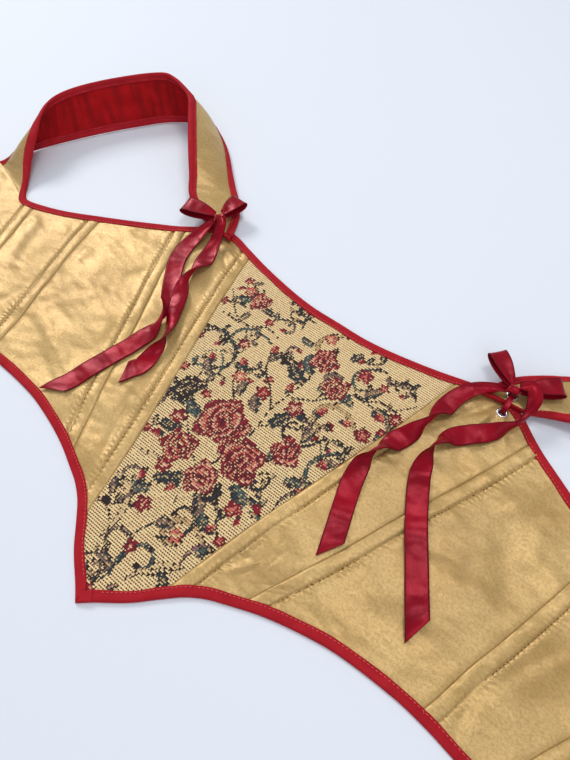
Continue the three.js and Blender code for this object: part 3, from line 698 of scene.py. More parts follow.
class Signal:
    """A number that varies over a surface, with the arithmetic that materials are written in."""

    def __init__(self, graph: "Graph", socket: bpy.types.NodeSocket) -> None:
        """Wraps a socket of a graph."""
        self.graph = graph
        self.socket = socket

    def maths(self, operation: str, *operands: "Signal | float") -> "Signal":
        """One Math node on the operands."""
        return self.graph.signal("ShaderNodeMath", {"operation": operation}, dict(enumerate(operands)))

    def __add__(self, other: "Signal | float") -> "Signal":
        """This plus another."""
        return self.maths("ADD", self, other)

    __radd__ = __add__

    def __mul__(self, other: "Signal | float") -> "Signal":
        """This times another."""
        return self.maths("MULTIPLY", self, other)

    __rmul__ = __mul__

    def __sub__(self, other: "Signal | float") -> "Signal":
        """This less another."""
        return self.maths("SUBTRACT", self, other)

    def __rsub__(self, other: float) -> "Signal":
        """Another less this."""
        return self.maths("SUBTRACT", other, self)

    def sine(self) -> "Signal":
        """The sine of this."""
        return self.maths("SINE", self)

    def size(self) -> "Signal":
        """This without its sign."""
        return self.maths("ABSOLUTE", self)

    def clipped(self, low: float, high: float) -> "Signal":
        """How far this is from low to high, held to 0 and 1."""
        fields = {"Value": self, "From Min": low, "From Max": high}
        return self.graph.signal("ShaderNodeMapRange", {"clamp": True}, fields)


class Graph:
    """The nodes of one material."""

    def __init__(self, name: str) -> None:
        """Starts an empty material.

        Args:
            name: the material's name.
        """
        self.material = bpy.data.materials.new(name)
        self.material.use_nodes = True
        self.tree = self.material.node_tree
        self.tree.nodes.clear()

    def node(self, kind: str, settings: dict[str, Any] | None = None,
             inputs: dict[Any, Any] | None = None) -> bpy.types.Node:
        """Adds a node.

        Args:
            kind: the node's type.
            settings: its properties, which are set first.
            inputs: values or links by socket name or number.

        Returns:
            The node.
        """
        node = self.tree.nodes.new(kind)
        for key, value in (settings or {}).items():
            setattr(node, key, value)
        for key, value in (inputs or {}).items():
            if isinstance(value, Signal):
                value = value.socket
            if isinstance(value, bpy.types.NodeSocket):
                self.tree.links.new(value, node.inputs[key])
            else:
                node.inputs[key].default_value = value
        return node

    def signal(self, kind: str, settings: dict[str, Any] | None = None, inputs: dict[Any, Any] | None = None,
               output: int | str = 0) -> Signal:
        """Adds a node and wraps one of its outputs."""
        return Signal(self, self.node(kind, settings, inputs).outputs[output])

    def place(self, scale: Row = (1, 1, 1), turn: float = 0) -> Signal:
        """The piece's own map, stretched and turned.

        Args:
            scale: cycles for each metre, across and along.
            turn: degrees about the face.

        Returns:
            The coordinates.
        """
        uv = self.signal("ShaderNodeUVMap", {"uv_map": CLOTH_UV})
        inputs = {"Vector": uv, "Scale": scale, "Rotation": (0, 0, math.radians(turn))}
        return self.signal("ShaderNodeMapping", {}, inputs)

    def noise(self, scale: Row, detail: float = 2, roughness: float = 0.5, turn: float = 0) -> Signal:
        """Soft noise between about 0.25 and 0.75."""
        inputs = {"Vector": self.place(scale, turn), "Scale": 1.0, "Detail": detail, "Roughness": roughness}
        return self.signal("ShaderNodeTexNoise", {}, inputs)

    def speckle(self, scale: float, detail: float) -> Signal:
        """Noise through the solid, on object coordinates.

        Args:
            scale: cycles for each metre.
            detail: how many finer layers it has.

        Returns:
            The noise.
        """
        coordinates = self.signal("ShaderNodeTexCoord", {}, {}, output="Object")
        inputs = {"Vector": coordinates, "Scale": scale, "Detail": detail}
        return self.signal("ShaderNodeTexNoise", {}, inputs)

    def axes(self) -> tuple[Signal, Signal]:
        """Across and along on the piece's own map, in metres."""
        node = self.node("ShaderNodeSeparateXYZ", {}, {0: self.place()})
        return Signal(self, node.outputs[0]), Signal(self, node.outputs[1])

    def mixed(self, factor: Signal | float, first: Any, second: Any) -> Signal:
        """A colour between two colours."""
        inputs = {0: factor, 6: first, 7: second}
        return self.signal("ShaderNodeMix", {"data_type": "RGBA"}, inputs, output=2)

    def bump(self, height: Signal, distance: float, strength: float = 1.0, normal: Any = None) -> Signal:
        """A normal from a height.

        Args:
            height: 0 to 1 for most surfaces.
            distance: metres for a height of 1.
            strength: share of the effect.
            normal: the normal it starts from.

        Returns:
            The normal.
        """
        inputs = {"Height": height, "Distance": distance, "Strength": strength}
        if normal is not None:
            inputs["Normal"] = normal
        return self.signal("ShaderNodeBump", {}, inputs)

    def finish(self, **inputs: Any) -> Finish:
        """Ends the material in one Principled shader.

        Args:
            inputs: its sockets, with underscores for spaces.

        Returns:
            The material.
        """
        named = {key.replace("_", " "): value for key, value in inputs.items()}
        shader = self.node("ShaderNodeBsdfPrincipled", {}, named)
        self.node("ShaderNodeOutputMaterial", {}, {"Surface": shader.outputs[0]})
        return self.material


def linear(red: float, green: float, blue: float) -> tuple[float, float, float, float]:
    """A screen colour from 0 to 255 as light."""
    channels = (c / 255 for c in (red, green, blue))
    return (*(c / 12.92 if c <= 0.04045 else ((c + 0.055) / 1.055) ** 2.4 for c in channels), 1.0)


# Finishes


@dataclass(frozen=True)
class GoldSatin:
    """Heavy gold satin: a soft uneven sheen over a fine grain, with painted sheen and painted shade in soft
    patches of its colour.
    """

    name: str = "gold_satin"
    colour: Row = linear(200, 163, 100)
    # deep is the colour of the painted shade patches and also the dark of the fine grain; pale is the colour
    # of the painted sheen patches
    deep: Row = linear(152, 118, 66)
    pale: Row = linear(230, 196, 132)
    roughness: float = 0.34

    def make(self) -> Finish:
        """Builds the material.

        Returns:
            The material.
        """
        g = Graph(self.name)
        clouds = g.noise((19, 28, 1), detail=2, turn=35).clipped(0.35, 0.65)
        painted_shade_drift = g.noise((9, 12, 1), detail=2, turn=-20).clipped(0.3, 0.7)
        grain = g.noise((430, 520, 1), detail=4, roughness=0.8)
        slub = g.noise((90, 1900, 1), detail=2, roughness=0.6)
        # Painted sheen and painted shade: soft patches of the colour are lightened towards pale and darkened
        # towards deep.
        colour = g.mixed(clouds * 0.65, self.colour, self.pale)
        colour = g.mixed(painted_shade_drift * 0.55, colour, self.deep)
        colour = g.mixed(grain.clipped(0.42, 0.62) * 0.5, colour, self.deep)
        rough = self.roughness + 0.12 * clouds + 0.22 * (grain - 0.5)
        weave = g.bump(grain + 0.4 * slub, 0.0002, 0.7)
        puckers = g.bump(g.noise((22, 38, 1), detail=2, turn=35), 0.0074, 0.55, weave)
        return g.finish(
            Base_Color=colour, Roughness=rough, Normal=puckers, Metallic=0.27, Specular_IOR_Level=0.45,
            Sheen_Weight=0.04, Sheen_Roughness=0.4, Sheen_Tint=linear(255, 226, 170),
        )


@dataclass(frozen=True)
class TapestryCloth:
    """Jacquard tapestry: ribbed cream and coloured wefts over a dark warp."""

    name: str = "tapestry_cloth"
    pitch: float = 1.96            # between two ribs
    stitch: float = 1.80           # between two crossings along a rib

    def make(self) -> Finish:
        """Builds the material.

        Returns:
            The material.
        """
        g = Graph(self.name)
        motif = g.signal("ShaderNodeAttribute", {"attribute_name": MOTIF}, {})
        across, along = g.axes()
        rib = (along * (2 * math.pi / (self.pitch * MM))).sine()
        loop = (across * (2 * math.pi / (self.stitch * MM))).sine()
        fuzz = g.noise((1400, 1400, 1), detail=2, roughness=0.7)
        height = rib * 0.5 + loop * 0.22 + fuzz * 0.5
        colour = g.mixed(fuzz.clipped(0.35, 0.75) * 0.25, motif, linear(60, 48, 36))
        return g.finish(
            Base_Color=colour, Roughness=0.82 + 0.1 * fuzz, Normal=g.bump(height, 0.00022, 0.8),
            Specular_IOR_Level=0.3, Sheen_Weight=0.15, Sheen_Roughness=0.5,
        )


@dataclass(frozen=True)
class PlainCotton:
    """Close plain-woven cotton, for bindings and linings."""

    name: str
    colour: Row
    deep: Row
    threads: float = 2600.0        # for each metre
    roughness: float = 0.72
    painted_pleat_shade: float = 0.0            # how far painted shade of small pleats across the cloth darkens it

    def make(self) -> Finish:
        """Builds the material.

        Returns:
            The material.
        """
        g = Graph(self.name)
        across, along = g.axes()
        warp = (across * (math.pi * self.threads)).sine().size()
        weft = (along * (math.pi * self.threads)).sine().size()
        clouds = g.noise((90, 60, 1), detail=3)
        fuzz = g.noise((1800, 1800, 1), detail=2, roughness=0.7)
        worn = clouds.clipped(0.35, 0.7)
        colour = g.mixed(worn * 0.45, self.colour, self.deep)
        colour = g.mixed(fuzz.clipped(0.4, 0.8) * 0.3, colour, self.deep)
        # Painted shade: narrow bands along the cloth, where small pleats would shade it, are darkened towards
        # a third of deep.
        pleat_shade_bands = g.noise((16, 150, 1), detail=2, roughness=0.6, turn=6).clipped(0.4, 0.62)
        colour = g.mixed(pleat_shade_bands * self.painted_pleat_shade, colour, tuple(0.35 * c for c in self.deep[:3]) + (1.0,))
        height = warp * 0.4 + weft * 0.4 + fuzz * 0.6
        weave = g.bump(height, 0.0001, 0.7)
        return g.finish(
            Base_Color=colour, Roughness=self.roughness + 0.12 * worn, Specular_IOR_Level=0.18,
            Normal=g.bump(clouds, 0.0009, 0.4, weave),
        )


@dataclass(frozen=True)
class RibbonSatin:
    """Crimson double satin ribbon with narrow woven edges, and painted shade in soft darker patches of its
    colour.
    """

    name: str = "crimson_ribbon"
    colour: Row = linear(150, 6, 28)
    # deep is the colour of the painted shade patches and of the woven edges
    deep: Row = linear(84, 2, 14)
    edge: float = 0.0068           # from the middle to where the selvedge begins

    def make(self) -> Finish:
        """Builds the material.

        Returns:
            The material.
        """
        g = Graph(self.name)
        across, along = g.axes()
        edge = across.size().clipped(self.edge, self.edge + 0.0006)
        floats = g.noise((5200, 240, 1), detail=2, roughness=0.6)
        clouds = g.noise((26, 34, 1), detail=2)
        # Painted shade: soft patches of the colour are darkened towards deep.
        colour = g.mixed(clouds.clipped(0.35, 0.65) * 0.6, self.colour, self.deep)
        colour = g.mixed(edge * 0.75, colour, self.deep)
        picks = (along * 9000.0).sine()
        fine = g.bump(floats + edge * picks * 0.6, 0.00008, 0.6)
        dents = g.bump(g.noise((30, 44, 1), detail=2), 0.0045, 0.6, fine)
        return g.finish(
            Base_Color=colour, Roughness=0.22 + 0.12 * floats + 0.3 * edge, Metallic=0.06,
            Normal=dents, Specular_IOR_Level=0.5, Specular_Tint=linear(255, 130, 145),
        )


@dataclass(frozen=True)
class Thread:
    """Sewing thread: two strands laid round each other."""

    name: str
    colour: Row

    def make(self) -> Finish:
        """Builds the material.

        Returns:
            The material.
        """
        g = Graph(self.name)
        ply = g.speckle(2600.0, 1.0)
        colour = g.mixed(ply.clipped(0.3, 0.7) * 0.4, self.colour, (*(0.5 * c for c in self.colour[:3]), 1))
        return g.finish(Base_Color=colour, Roughness=0.55 + 0.2 * ply, Normal=g.bump(ply, 0.00008, 0.5))


@dataclass(frozen=True)
class NickelPlate:
    """Bright nickel, faintly brushed by handling."""

    name: str = "nickel_plate"
    colour: Row = linear(214, 214, 218)

    def make(self) -> Finish:
        """Builds the material.

        Returns:
            The material.
        """
        g = Graph(self.name)
        wear = g.speckle(900.0, 3.0)
        colour = g.mixed(wear.clipped(0.45, 0.8) * 0.3, self.colour, linear(150, 148, 150))
        return g.finish(
            Base_Color=colour, Metallic=1.0, Roughness=0.14 + 0.2 * wear, Normal=g.bump(wear, 0.00003, 0.3),
        )


@dataclass(frozen=True)
class PaleTable:
    """The plain pale table top."""

    name: str = "pale_table"
    colour: Row = linear(227, 232, 240)

    def make(self) -> Finish:
        """Builds the material.

        Returns:
            The material.
        """
        g = Graph(self.name)
        tone = g.speckle(3.0, 2.0)
        colour = g.mixed(tone * 0.2, self.colour, linear(219, 225, 236))
        return g.finish(Base_Color=colour, Roughness=0.6, Specular_IOR_Level=0.3)


class Wardrobe:
    """Every finish of the garment, built once."""

    def __init__(self) -> None:
        """Builds the materials."""
        self.satin = GoldSatin().make()
        self.tapestry = TapestryCloth().make()
        self.binding = PlainCotton("red_binding", linear(176, 26, 38), linear(140, 12, 22)).make()
        lining = PlainCotton("red_lining", linear(178, 4, 12), linear(130, 2, 8), 1900.0, painted_pleat_shade=0.4)
        self.lining = lining.make()
        self.ribbon = RibbonSatin().make()
        self.red_thread = Thread("red_thread", linear(214, 92, 88)).make()
        # the channel stitches' thread is coloured dark brown as painted shade of the groove it lies in
        self.groove_shade_thread = Thread("groove_shade_thread", linear(84, 58, 28)).make()
        self.nickel = NickelPlate().make()
        self.table = PaleTable().make()


# The studio


@dataclass
class Studio:
    """The camera at the photograph's place, the table and the lights."""

    eye: Row = (0.15636, -0.17967, 0.400)
    heading: float = -39.78        # degrees about the vertical, from the row's +Y
    pitch: float = 58.45           # degrees below the horizon
    roll: float = 1.02
    lens: float = 27.94
    table_half: float = 1.6
    lamps: tuple[tuple[str, Row, Row, Row, float, float], ...] = (
        ("window", (-2.45, 0.95, 2.0), (0, 0, 0), (1.0, 0.985, 0.965), 0.9, 46.0),
        ("ceiling", (0.1, 0.42, 1.5), (0, 0, 0), (1.0, 0.99, 0.98), 0.4, 5.5),
        ("fill", (1.3, -1.4, 1.5), (0.05, -0.1, 0), (0.95, 0.97, 1.0), 1.8, 12.0),
    )

    def make_camera(self) -> None:
        """Adds the camera and makes it the scene's."""
        data = bpy.data.cameras.new("camera")
        data.lens = self.lens
        data.clip_start = 0.01
        camera = bpy.data.objects.new("camera", data)
        heading, pitch, roll = (math.radians(a) for a in (self.heading, self.pitch, self.roll))
        level = Vector((math.cos(heading), -math.sin(heading), 0))
        ahead = Vector((math.sin(heading), math.cos(heading), 0))
        forward = ahead * math.cos(pitch) - Vector((0, 0, math.sin(pitch)))
        down = -ahead * math.sin(pitch) - Vector((0, 0, math.cos(pitch)))
        right = level * math.cos(roll) + down * math.sin(roll)
        up = level * math.sin(roll) - down * math.cos(roll)
        turn = Matrix((right, up, -forward)).transposed()
        camera.matrix_world = Matrix.Translation(self.eye) @ turn.to_4x4()
        link(camera)
        bpy.context.scene.camera = camera
        LOG.info("camera at %s", self.eye)

    def make_table(self, material: Finish) -> None:
        """Adds the table top under the garment.

        Args:
            material: its finish.
        """
        deselect()
        bpy.ops.mesh.primitive_plane_add(size=2 * self.table_half)
        table = bpy.context.active_object
        table.name = "table_top"
        bpy.ops.object.mode_set(mode="EDIT")
        bpy.ops.mesh.select_all(action="SELECT")
        bpy.ops.mesh.subdivide(number_cuts=3)
        bpy.ops.object.mode_set(mode="OBJECT")
        table.data.materials.append(material)

    def make_lights(self) -> None:
        """Adds the soft lights and the pale surroundings."""
        for name, place, target, colour, size, power in self.lamps:
            data = bpy.data.lights.new(name, "AREA")
            data.size, data.energy, data.color = size, power, colour
            lamp = bpy.data.objects.new(name, data)
            lamp.location = place
            lamp.rotation_euler = (Vector(target) - Vector(place)).to_track_quat("-Z", "Y").to_euler()
            link(lamp)
        world = bpy.data.worlds.new("pale_room")
        world.use_nodes = True
        world.node_tree.nodes["Background"].inputs["Color"].default_value = (0.88, 0.93, 1.0, 1)
        world.node_tree.nodes["Background"].inputs["Strength"].default_value = 0.52
        bpy.context.scene.world = world
        bpy.context.scene.view_settings.view_transform = "Standard"


# Ribbons


@dataclass(frozen=True)
class Tail:
    """A free ribbon tail: its length, its end's slant, and rows of middle line, height, width and turn."""

    name: str
    length: float
    slant: float                   # how far the end's one corner is past its middle
    rows: tuple[Row, ...]


TAILS = (
    Tail("ribbon_tail_left_inner", 203, 7, (
        (141.4, 309, 11.2, 5, 0), (132.5, 305.5, 10.2, 8, 0), (121, 297, 6.8, 12, 0),
        (114, 284, 5.0, 14, 0), (111.5, 270, 4.6, 15, 0), (110, 258, 8.4, 10, 60),
        (108.5, 249, 8.5, 9, 105), (104, 237, 6.5, 14, 160), (97.5, 223, 4.3, 16, 180),
        (92.5, 211.5, 8.4, 10, 240), (89.5, 203, 8.5, 9, 280), (89, 193, 6.5, 14, 340),
        (91.5, 178, 4.1, 16, 360), (96, 164, 4.1, 16, 360), (102, 147, 4.1, 16, 360),
        (108, 130, 4.1, 16, 360),
    )),
    Tail("ribbon_tail_left_outer", 239, 7.5, (
        (148, 313.4, 17.7, 6, 0), (155.5, 316, 20.5, 11, 0), (162, 311, 18, 11, 25),
        (164.5, 301, 13.5, 10, 55), (161, 288, 9.5, 9, 90), (152, 276, 7.4, 13, 150),
        (139, 264, 4.5, 16, 180), (129.5, 253, 4.5, 15, 180), (124.5, 244, 8.0, 11, 225),
        (122, 235, 8.6, 9, 275), (123.5, 223, 7.0, 14, 335), (128, 209, 4.1, 16, 360),
        (142, 183, 4.1, 16, 360), (160, 155, 4.1, 16, 360), (171, 138, 4.1, 16, 360),
        (181, 123, 4.1, 16, 360),
    )),
    Tail("ribbon_tail_right_inner", 186, -6.5, (
        (-151, 309, 17.8, 6, 0), (-144.5, 303, 16.8, 9, 0), (-141, 293, 10.5, 10, 0), (-138, 281, 6.0, 13, 0),
        (-134, 266, 4.8, 16, 0), (-131, 253, 8.3, 13, 40), (-130, 243, 8.6, 9, 95), (-127, 232, 8.0, 12, 155),
        (-121, 221, 8.0, 14, 180), (-113, 207, 7.8, 12, 180), (-105.5, 193, 7.0, 10, 215),
        (-100, 181, 8.1, 8, 270), (-97.5, 169, 7.0, 12, 330), (-98, 154, 4.1, 16, 360),
        (-101, 147, 4.1, 16, 360), (-104.5, 140, 4.1, 16, 360),
    )),
    Tail("ribbon_tail_right_outer", 228, -7.5, (
        (-154.8, 304.6, 12.2, 5, 0), (-157.5, 295, 9.6, 10, 0), (-159.5, 281, 6.2, 14, 0),
        (-160, 267, 4.7, 16, 0), (-153.5, 250, 4.2, 16, 0), (-140.5, 231, 4.2, 15, 0),
        (-129.5, 215.5, 5.6, 12, -15), (-123.5, 207.5, 7.9, 10, -50), (-119, 200, 8.6, 9, -90),
        (-116.5, 191, 7.6, 11, -140), (-116.5, 180, 4.4, 15, -180), (-119.5, 162, 4.1, 16, -180),
        (-124, 143, 4.1, 16, -180), (-128, 127, 4.1, 16, -180), (-132, 110, 4.1, 16, -180),
        (-136, 94, 4.1, 16, -180),
    )),
)


@dataclass(frozen=True)
class Loop:
    """A bow loop: its name, far end and ribbon width."""

    name: str
    end: Row
    width: float


@dataclass(frozen=True)
class Bow:
    """A bow at a strap joint: its knot's middle and its loops."""

    side: Side
    knot: Row
    loops: tuple[Loop, ...]


BOWS = (
    Bow(Side.LEFT, (146, 311.5, 13.9), (
        Loop("upper", (119, 333, 15), 14), Loop("outer", (174.5, 334, 16), 15),
    )),
    Bow(Side.RIGHT, (-153.5, 309.5, 13.9), (
        Loop("outer", (-190, 301, 15), 17), Loop("upper", (-152, 338, 15), 16),
    )),
)
# A loop's section in its own upright plane: reach, height and share of the ribbon's width
LOOP = (
    (0.0, -1.4, 0.35), (0.3, -2.4, 0.7), (0.65, -3.2, 0.95), (0.92, -2.6, 1), (1.0, 0.2, 1), (0.9, 2.9, 1),
    (0.6, 3.6, 0.95), (0.3, 3.0, 0.7), (0.0, 1.4, 0.35),
)


@dataclass
class Ribbons:
    """The two bows with their ties, knots, loops and free tails."""

    wall: float = 0.4
    steps: int = 11                # between two rows of a table
    columns: int = 13
    ease: int = 7                  # sections to each side that rise with a lifted one
    knot_radii: Row = (5.0, 4.6, 3.2)

    def band(self, name: str, line: Array, across: Array, normal: Array, widths: Array,
             sag: Array, slant: float = 0) -> Piece:
        """A strip of ribbon.

        Args:
            name: the piece's name.
            line: the middle line's points.
            across: the direction over the ribbon's width at each point.
            normal: its facing direction.
            widths: the chord between its edges.
            sag: how far its middle bows out along the normal.
            slant: how far its far end's one corner is past the middle.

        Returns:
            The object.
        """
        share = np.linspace(-1, 1, self.columns)
        to_end = run_length(line)[-1] - run_length(line)
        near_end = np.clip(1 - to_end / 22, 0, 1)[:, None, None] ** 1.5
        skew = slant * near_end * share[None, :, None] * unit(np.gradient(line, axis=0))[:, None]
        bowed = (1 - share**2)[None, :] * sag[:, None]
        edge = 0.12 * np.clip((np.abs(share) - 0.8) / 0.2, 0, 1)
        middle = (
            line[:, None] + skew + across[:, None] * (share[None, :, None] * widths[:, None, None] / 2)
            + normal[:, None] * (bowed - 0.6 * sag[:, None])[..., None]
        )
        half = (self.wall / 2 + edge)[None, :, None] * normal[:, None]
        along = np.repeat(run_length(line)[:, None], self.columns, 1)
        flat = np.repeat(share[None] * RIBBON_WIDTH / 2, len(line), 0)
        return faces_out(shell(name, middle + half, middle - half, np.dstack([flat, along])))

    def tail(self, tail: Tail) -> Piece:
        """One free tail, lying on the cloth where its rows let it.

        Args:
            tail: its rows.

        Returns:
            The piece.
        """
        rows = line_through(tail.rows, self.steps)
        line, widths, turns = rows[:, :3].copy(), rows[:, 3], np.radians(rows[:, 4])
        flat = np.clip((widths - 14.6) / 1.2, 0, 1) * (line[:, 2] < 5.2)
        flat = self.eased(self.eased(flat))
        wave = 0.35 * np.sin(run_length(line) / 7.0) + 0.25 * np.sin(run_length(line) / 3.9 + 1)
        rest = CLOTH + self.spread(either_relief(line[:, 0], line[:, 1])) + 1.1 + wave
        line[:, 2] += (np.minimum(rest, line[:, 2]) - line[:, 2]) * flat
        along = unit(np.gradient(line, axis=0))
        level = unit(np.cross(along, (0, 0, 1)))
        across = level * np.cos(turns)[:, None] + np.cross(along, level) * np.sin(turns)[:, None]
        normal = np.cross(along, across)
        sag = 0.34 * (RIBBON_WIDTH - widths) + 0.25
        piece = self.band(tail.name, line, across, normal, widths, sag, tail.slant)
        self.lift_clear(piece)
        path = to_row(np.array([row[:3] for row in tail.rows]))
        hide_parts(tail.name)
        return piece

    def eased(self, values: Array) -> Array:
        """The values along a tail, smoothed."""
        window = np.hanning(2 * self.ease + 3)[1:-1]
        return np.convolve(np.pad(values, self.ease, mode="edge"), window / window.sum(), "valid")

    def spread(self, values: Array) -> Array:
        """The greatest of the near values along a tail, smoothed.

        Args:
            values: one for each section.

        Returns:
            As many smoothed values.
        """
        padded = np.pad(values, self.ease, mode="edge")
        near = np.lib.stride_tricks.sliding_window_view(padded, 2 * self.ease + 1)
        return self.eased(near.max(axis=1))

    def lift_clear(self, piece: Piece) -> None:
        """Lifts each section that would sink into the cloth, and eases its neighbours up with it.

        Args:
            piece: the tail.
        """
        count = len(piece.data.vertices)
        points = np.empty(count * 3)
        piece.data.vertices.foreach_get("co", points)
        points = points.reshape(-1, 3)
        x, y = points[:, 0] / MM, points[:, 1] / MM - POINT_Y
        reach = np.abs(x)
        ground = either_relief(x, y) * edge_fade(reach, y) + CLOTH
        inside = (y > HEM(reach) + 1) & (y < top_edge(reach) - 1)
        bound = from_edge(reach, y) < BINDING_WIDTH + 0.6
        ground = np.where(bound, np.maximum(ground, BINDING_TOP + 0.5), ground) + 0.3
        upper = np.arange(count) < count // 2
        clear = (ground + np.where(upper, 0.4, 0.0)) * MM
        lack = np.where(inside, np.maximum(clear - points[:, 2], 0), 0)
        lack = lack.reshape(2, -1, self.columns).max(axis=(0, 2))
        points[:, 2] += np.tile(np.repeat(self.spread(lack), self.columns), 2)
        piece.data.vertices.foreach_set("co", points.ravel())
        piece.data.update()

    def loop(self, bow: Bow, loop: Loop) -> Piece:
        """One bow loop, a flattened tube of ribbon.

        Args:
            bow: the bow it belongs to.
            loop: its far end and width.

        Returns:
            The piece.
        """
        rows = line_through(LOOP, 12)
        knot, end = np.array(bow.knot, float), np.array(loop.end, float)
        reach = (end - knot)[:2]
        length = float(np.linalg.norm(reach))
        ahead = np.array([*(reach / length), 0])
        crosswise = np.array([-ahead[1], ahead[0], 0])
        start = self.knot_radii[0] - 0.2
        out = start + (length - start) * rows[:, 0]
        height = knot[2] + (end[2] - knot[2]) * rows[:, 0] + rows[:, 1]
        line = knot[None] * (1, 1, 0) + ahead * out[:, None] + np.array([0, 0, 1]) * height[:, None]
        along = unit(np.gradient(line, axis=0))
        across = np.repeat(crosswise[None], len(line), 0)
        normal = np.cross(along, across)
        sag = 0.8 * (1 - rows[:, 2]) * 3 + 0.3
        name = f"ribbon_loop_{bow.side.word}_{loop.name}"
        return self.band(name, line, across, normal, rows[:, 2] * loop.width, sag)

    def knot(self, bow: Bow) -> Piece:
        """The wrap of ribbon over a bow's middle.

        Args:
            bow: the bow.

        Returns:
            The piece.
        """
        ahead = unit(np.array([bow.loops[0].end[0] - bow.loops[1].end[0],
                               bow.loops[0].end[1] - bow.loops[1].end[1], 0.0]))
        crosswise = np.array([-ahead[1], ahead[0], 0])
        turn = np.linspace(0, 2 * math.pi, 49)
        _, wide, tall = self.knot_radii
        ring = crosswise * np.cos(turn)[:, None] * wide + np.array([0, 0, 1]) * np.sin(turn)[:, None] * tall
        share = np.linspace(-1, 1, 9)
        waist = 1 - 0.22 * (1 - share**2) + 0.05 * np.cos(5 * math.pi * share)
        spread = ahead[None, None] * (share[None, :, None] * self.knot_radii[0] * 0.9)
        tilt = crosswise[None, None] * (0.6 * share[None, :, None])
        face = np.array(bow.knot) + ring[:, None] * waist[None, :, None] + spread + tilt
        core = np.array(bow.knot) + ring[:, None] * (waist[None, :, None] - 0.1) + spread + tilt
        uvs = np.dstack([
            np.repeat(share[None] * 5, len(turn), 0), np.repeat((turn * wide)[:, None], len(share), 1),
        ])
        return faces_out(shell(f"ribbon_knot_{bow.side.word}", face, core, uvs))

    def tie(self, bow: Bow) -> Piece:
        """The stretch of ribbon through both eyelets, under the knot.

        Args:
            bow: the bow.

        Returns:
            The piece.
        """
        (fx, fy), (sx, sy) = FRONT_EYELET, STRAP_EYELET
        sx += bow.side.shift
        line = line_through((
            (fx, fy, 0.8), (fx, fy, 6.5), (fx - 0.2, fy + 2.6, 9.4),
            (sx + 0.2, sy - 2.6, 10.2), (sx, sy, 8.8), (sx, sy, 4.6),
        ), 8) * (bow.side.value, 1, 1)
        along = unit(np.gradient(line, axis=0))
        across = np.repeat(np.array([[1.0, 0, 0]]), len(line), 0)
        normal = unit(np.cross(along, across))
        name = f"ribbon_tie_{bow.side.word}"
        return self.band(name, line, across, normal, np.full(len(line), 4.4), np.full(len(line), 0.8))

    def make(self, finishes: Wardrobe) -> None:
        """Builds every ribbon piece, the tails first.

        Args:
            finishes: the materials.
        """
        for tail in TAILS:
            dress(self.tail(tail), "crimson_ribbon", finishes.ribbon)
        for bow in BOWS:
            word = bow.side.word
            parts = {f"ribbon_loop_{word}_{loop.name}": self.loop(bow, loop) for loop in bow.loops}
            parts[f"ribbon_knot_{word}"] = self.knot(bow)
            parts[f"ribbon_tie_{word}"] = self.tie(bow)
            for node, piece in parts.items():
                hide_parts(node)
                dress(piece, "crimson_ribbon", finishes.ribbon)
        LOG.info("ribbons: %d tails and %d bows", len(TAILS), len(BOWS))


# The tapestry


class Wool(Enum):
    """The tapestry's weft colours."""

    CREAM = (240, 204, 150)
    SAND = (206, 168, 116)
    DARK = (44, 28, 26)
    CRIMSON = (146, 24, 42)
    WINE = (98, 18, 34)
    CORAL = (222, 118, 98)
    BLUSH = (242, 182, 146)
    TEAL = (78, 96, 90)
    SLATE = (46, 54, 58)
    TAUPE = (132, 106, 92)
    MAUVE = (156, 112, 110)

    @property
    def light(self) -> Array:
        """The colour as light."""
        return np.array(linear(*self.value)[:3])


CREAM, SAND, DARK, CRIMSON, WINE, CORAL, BLUSH, TEAL, SLATE, TAUPE, MAUVE = Wool


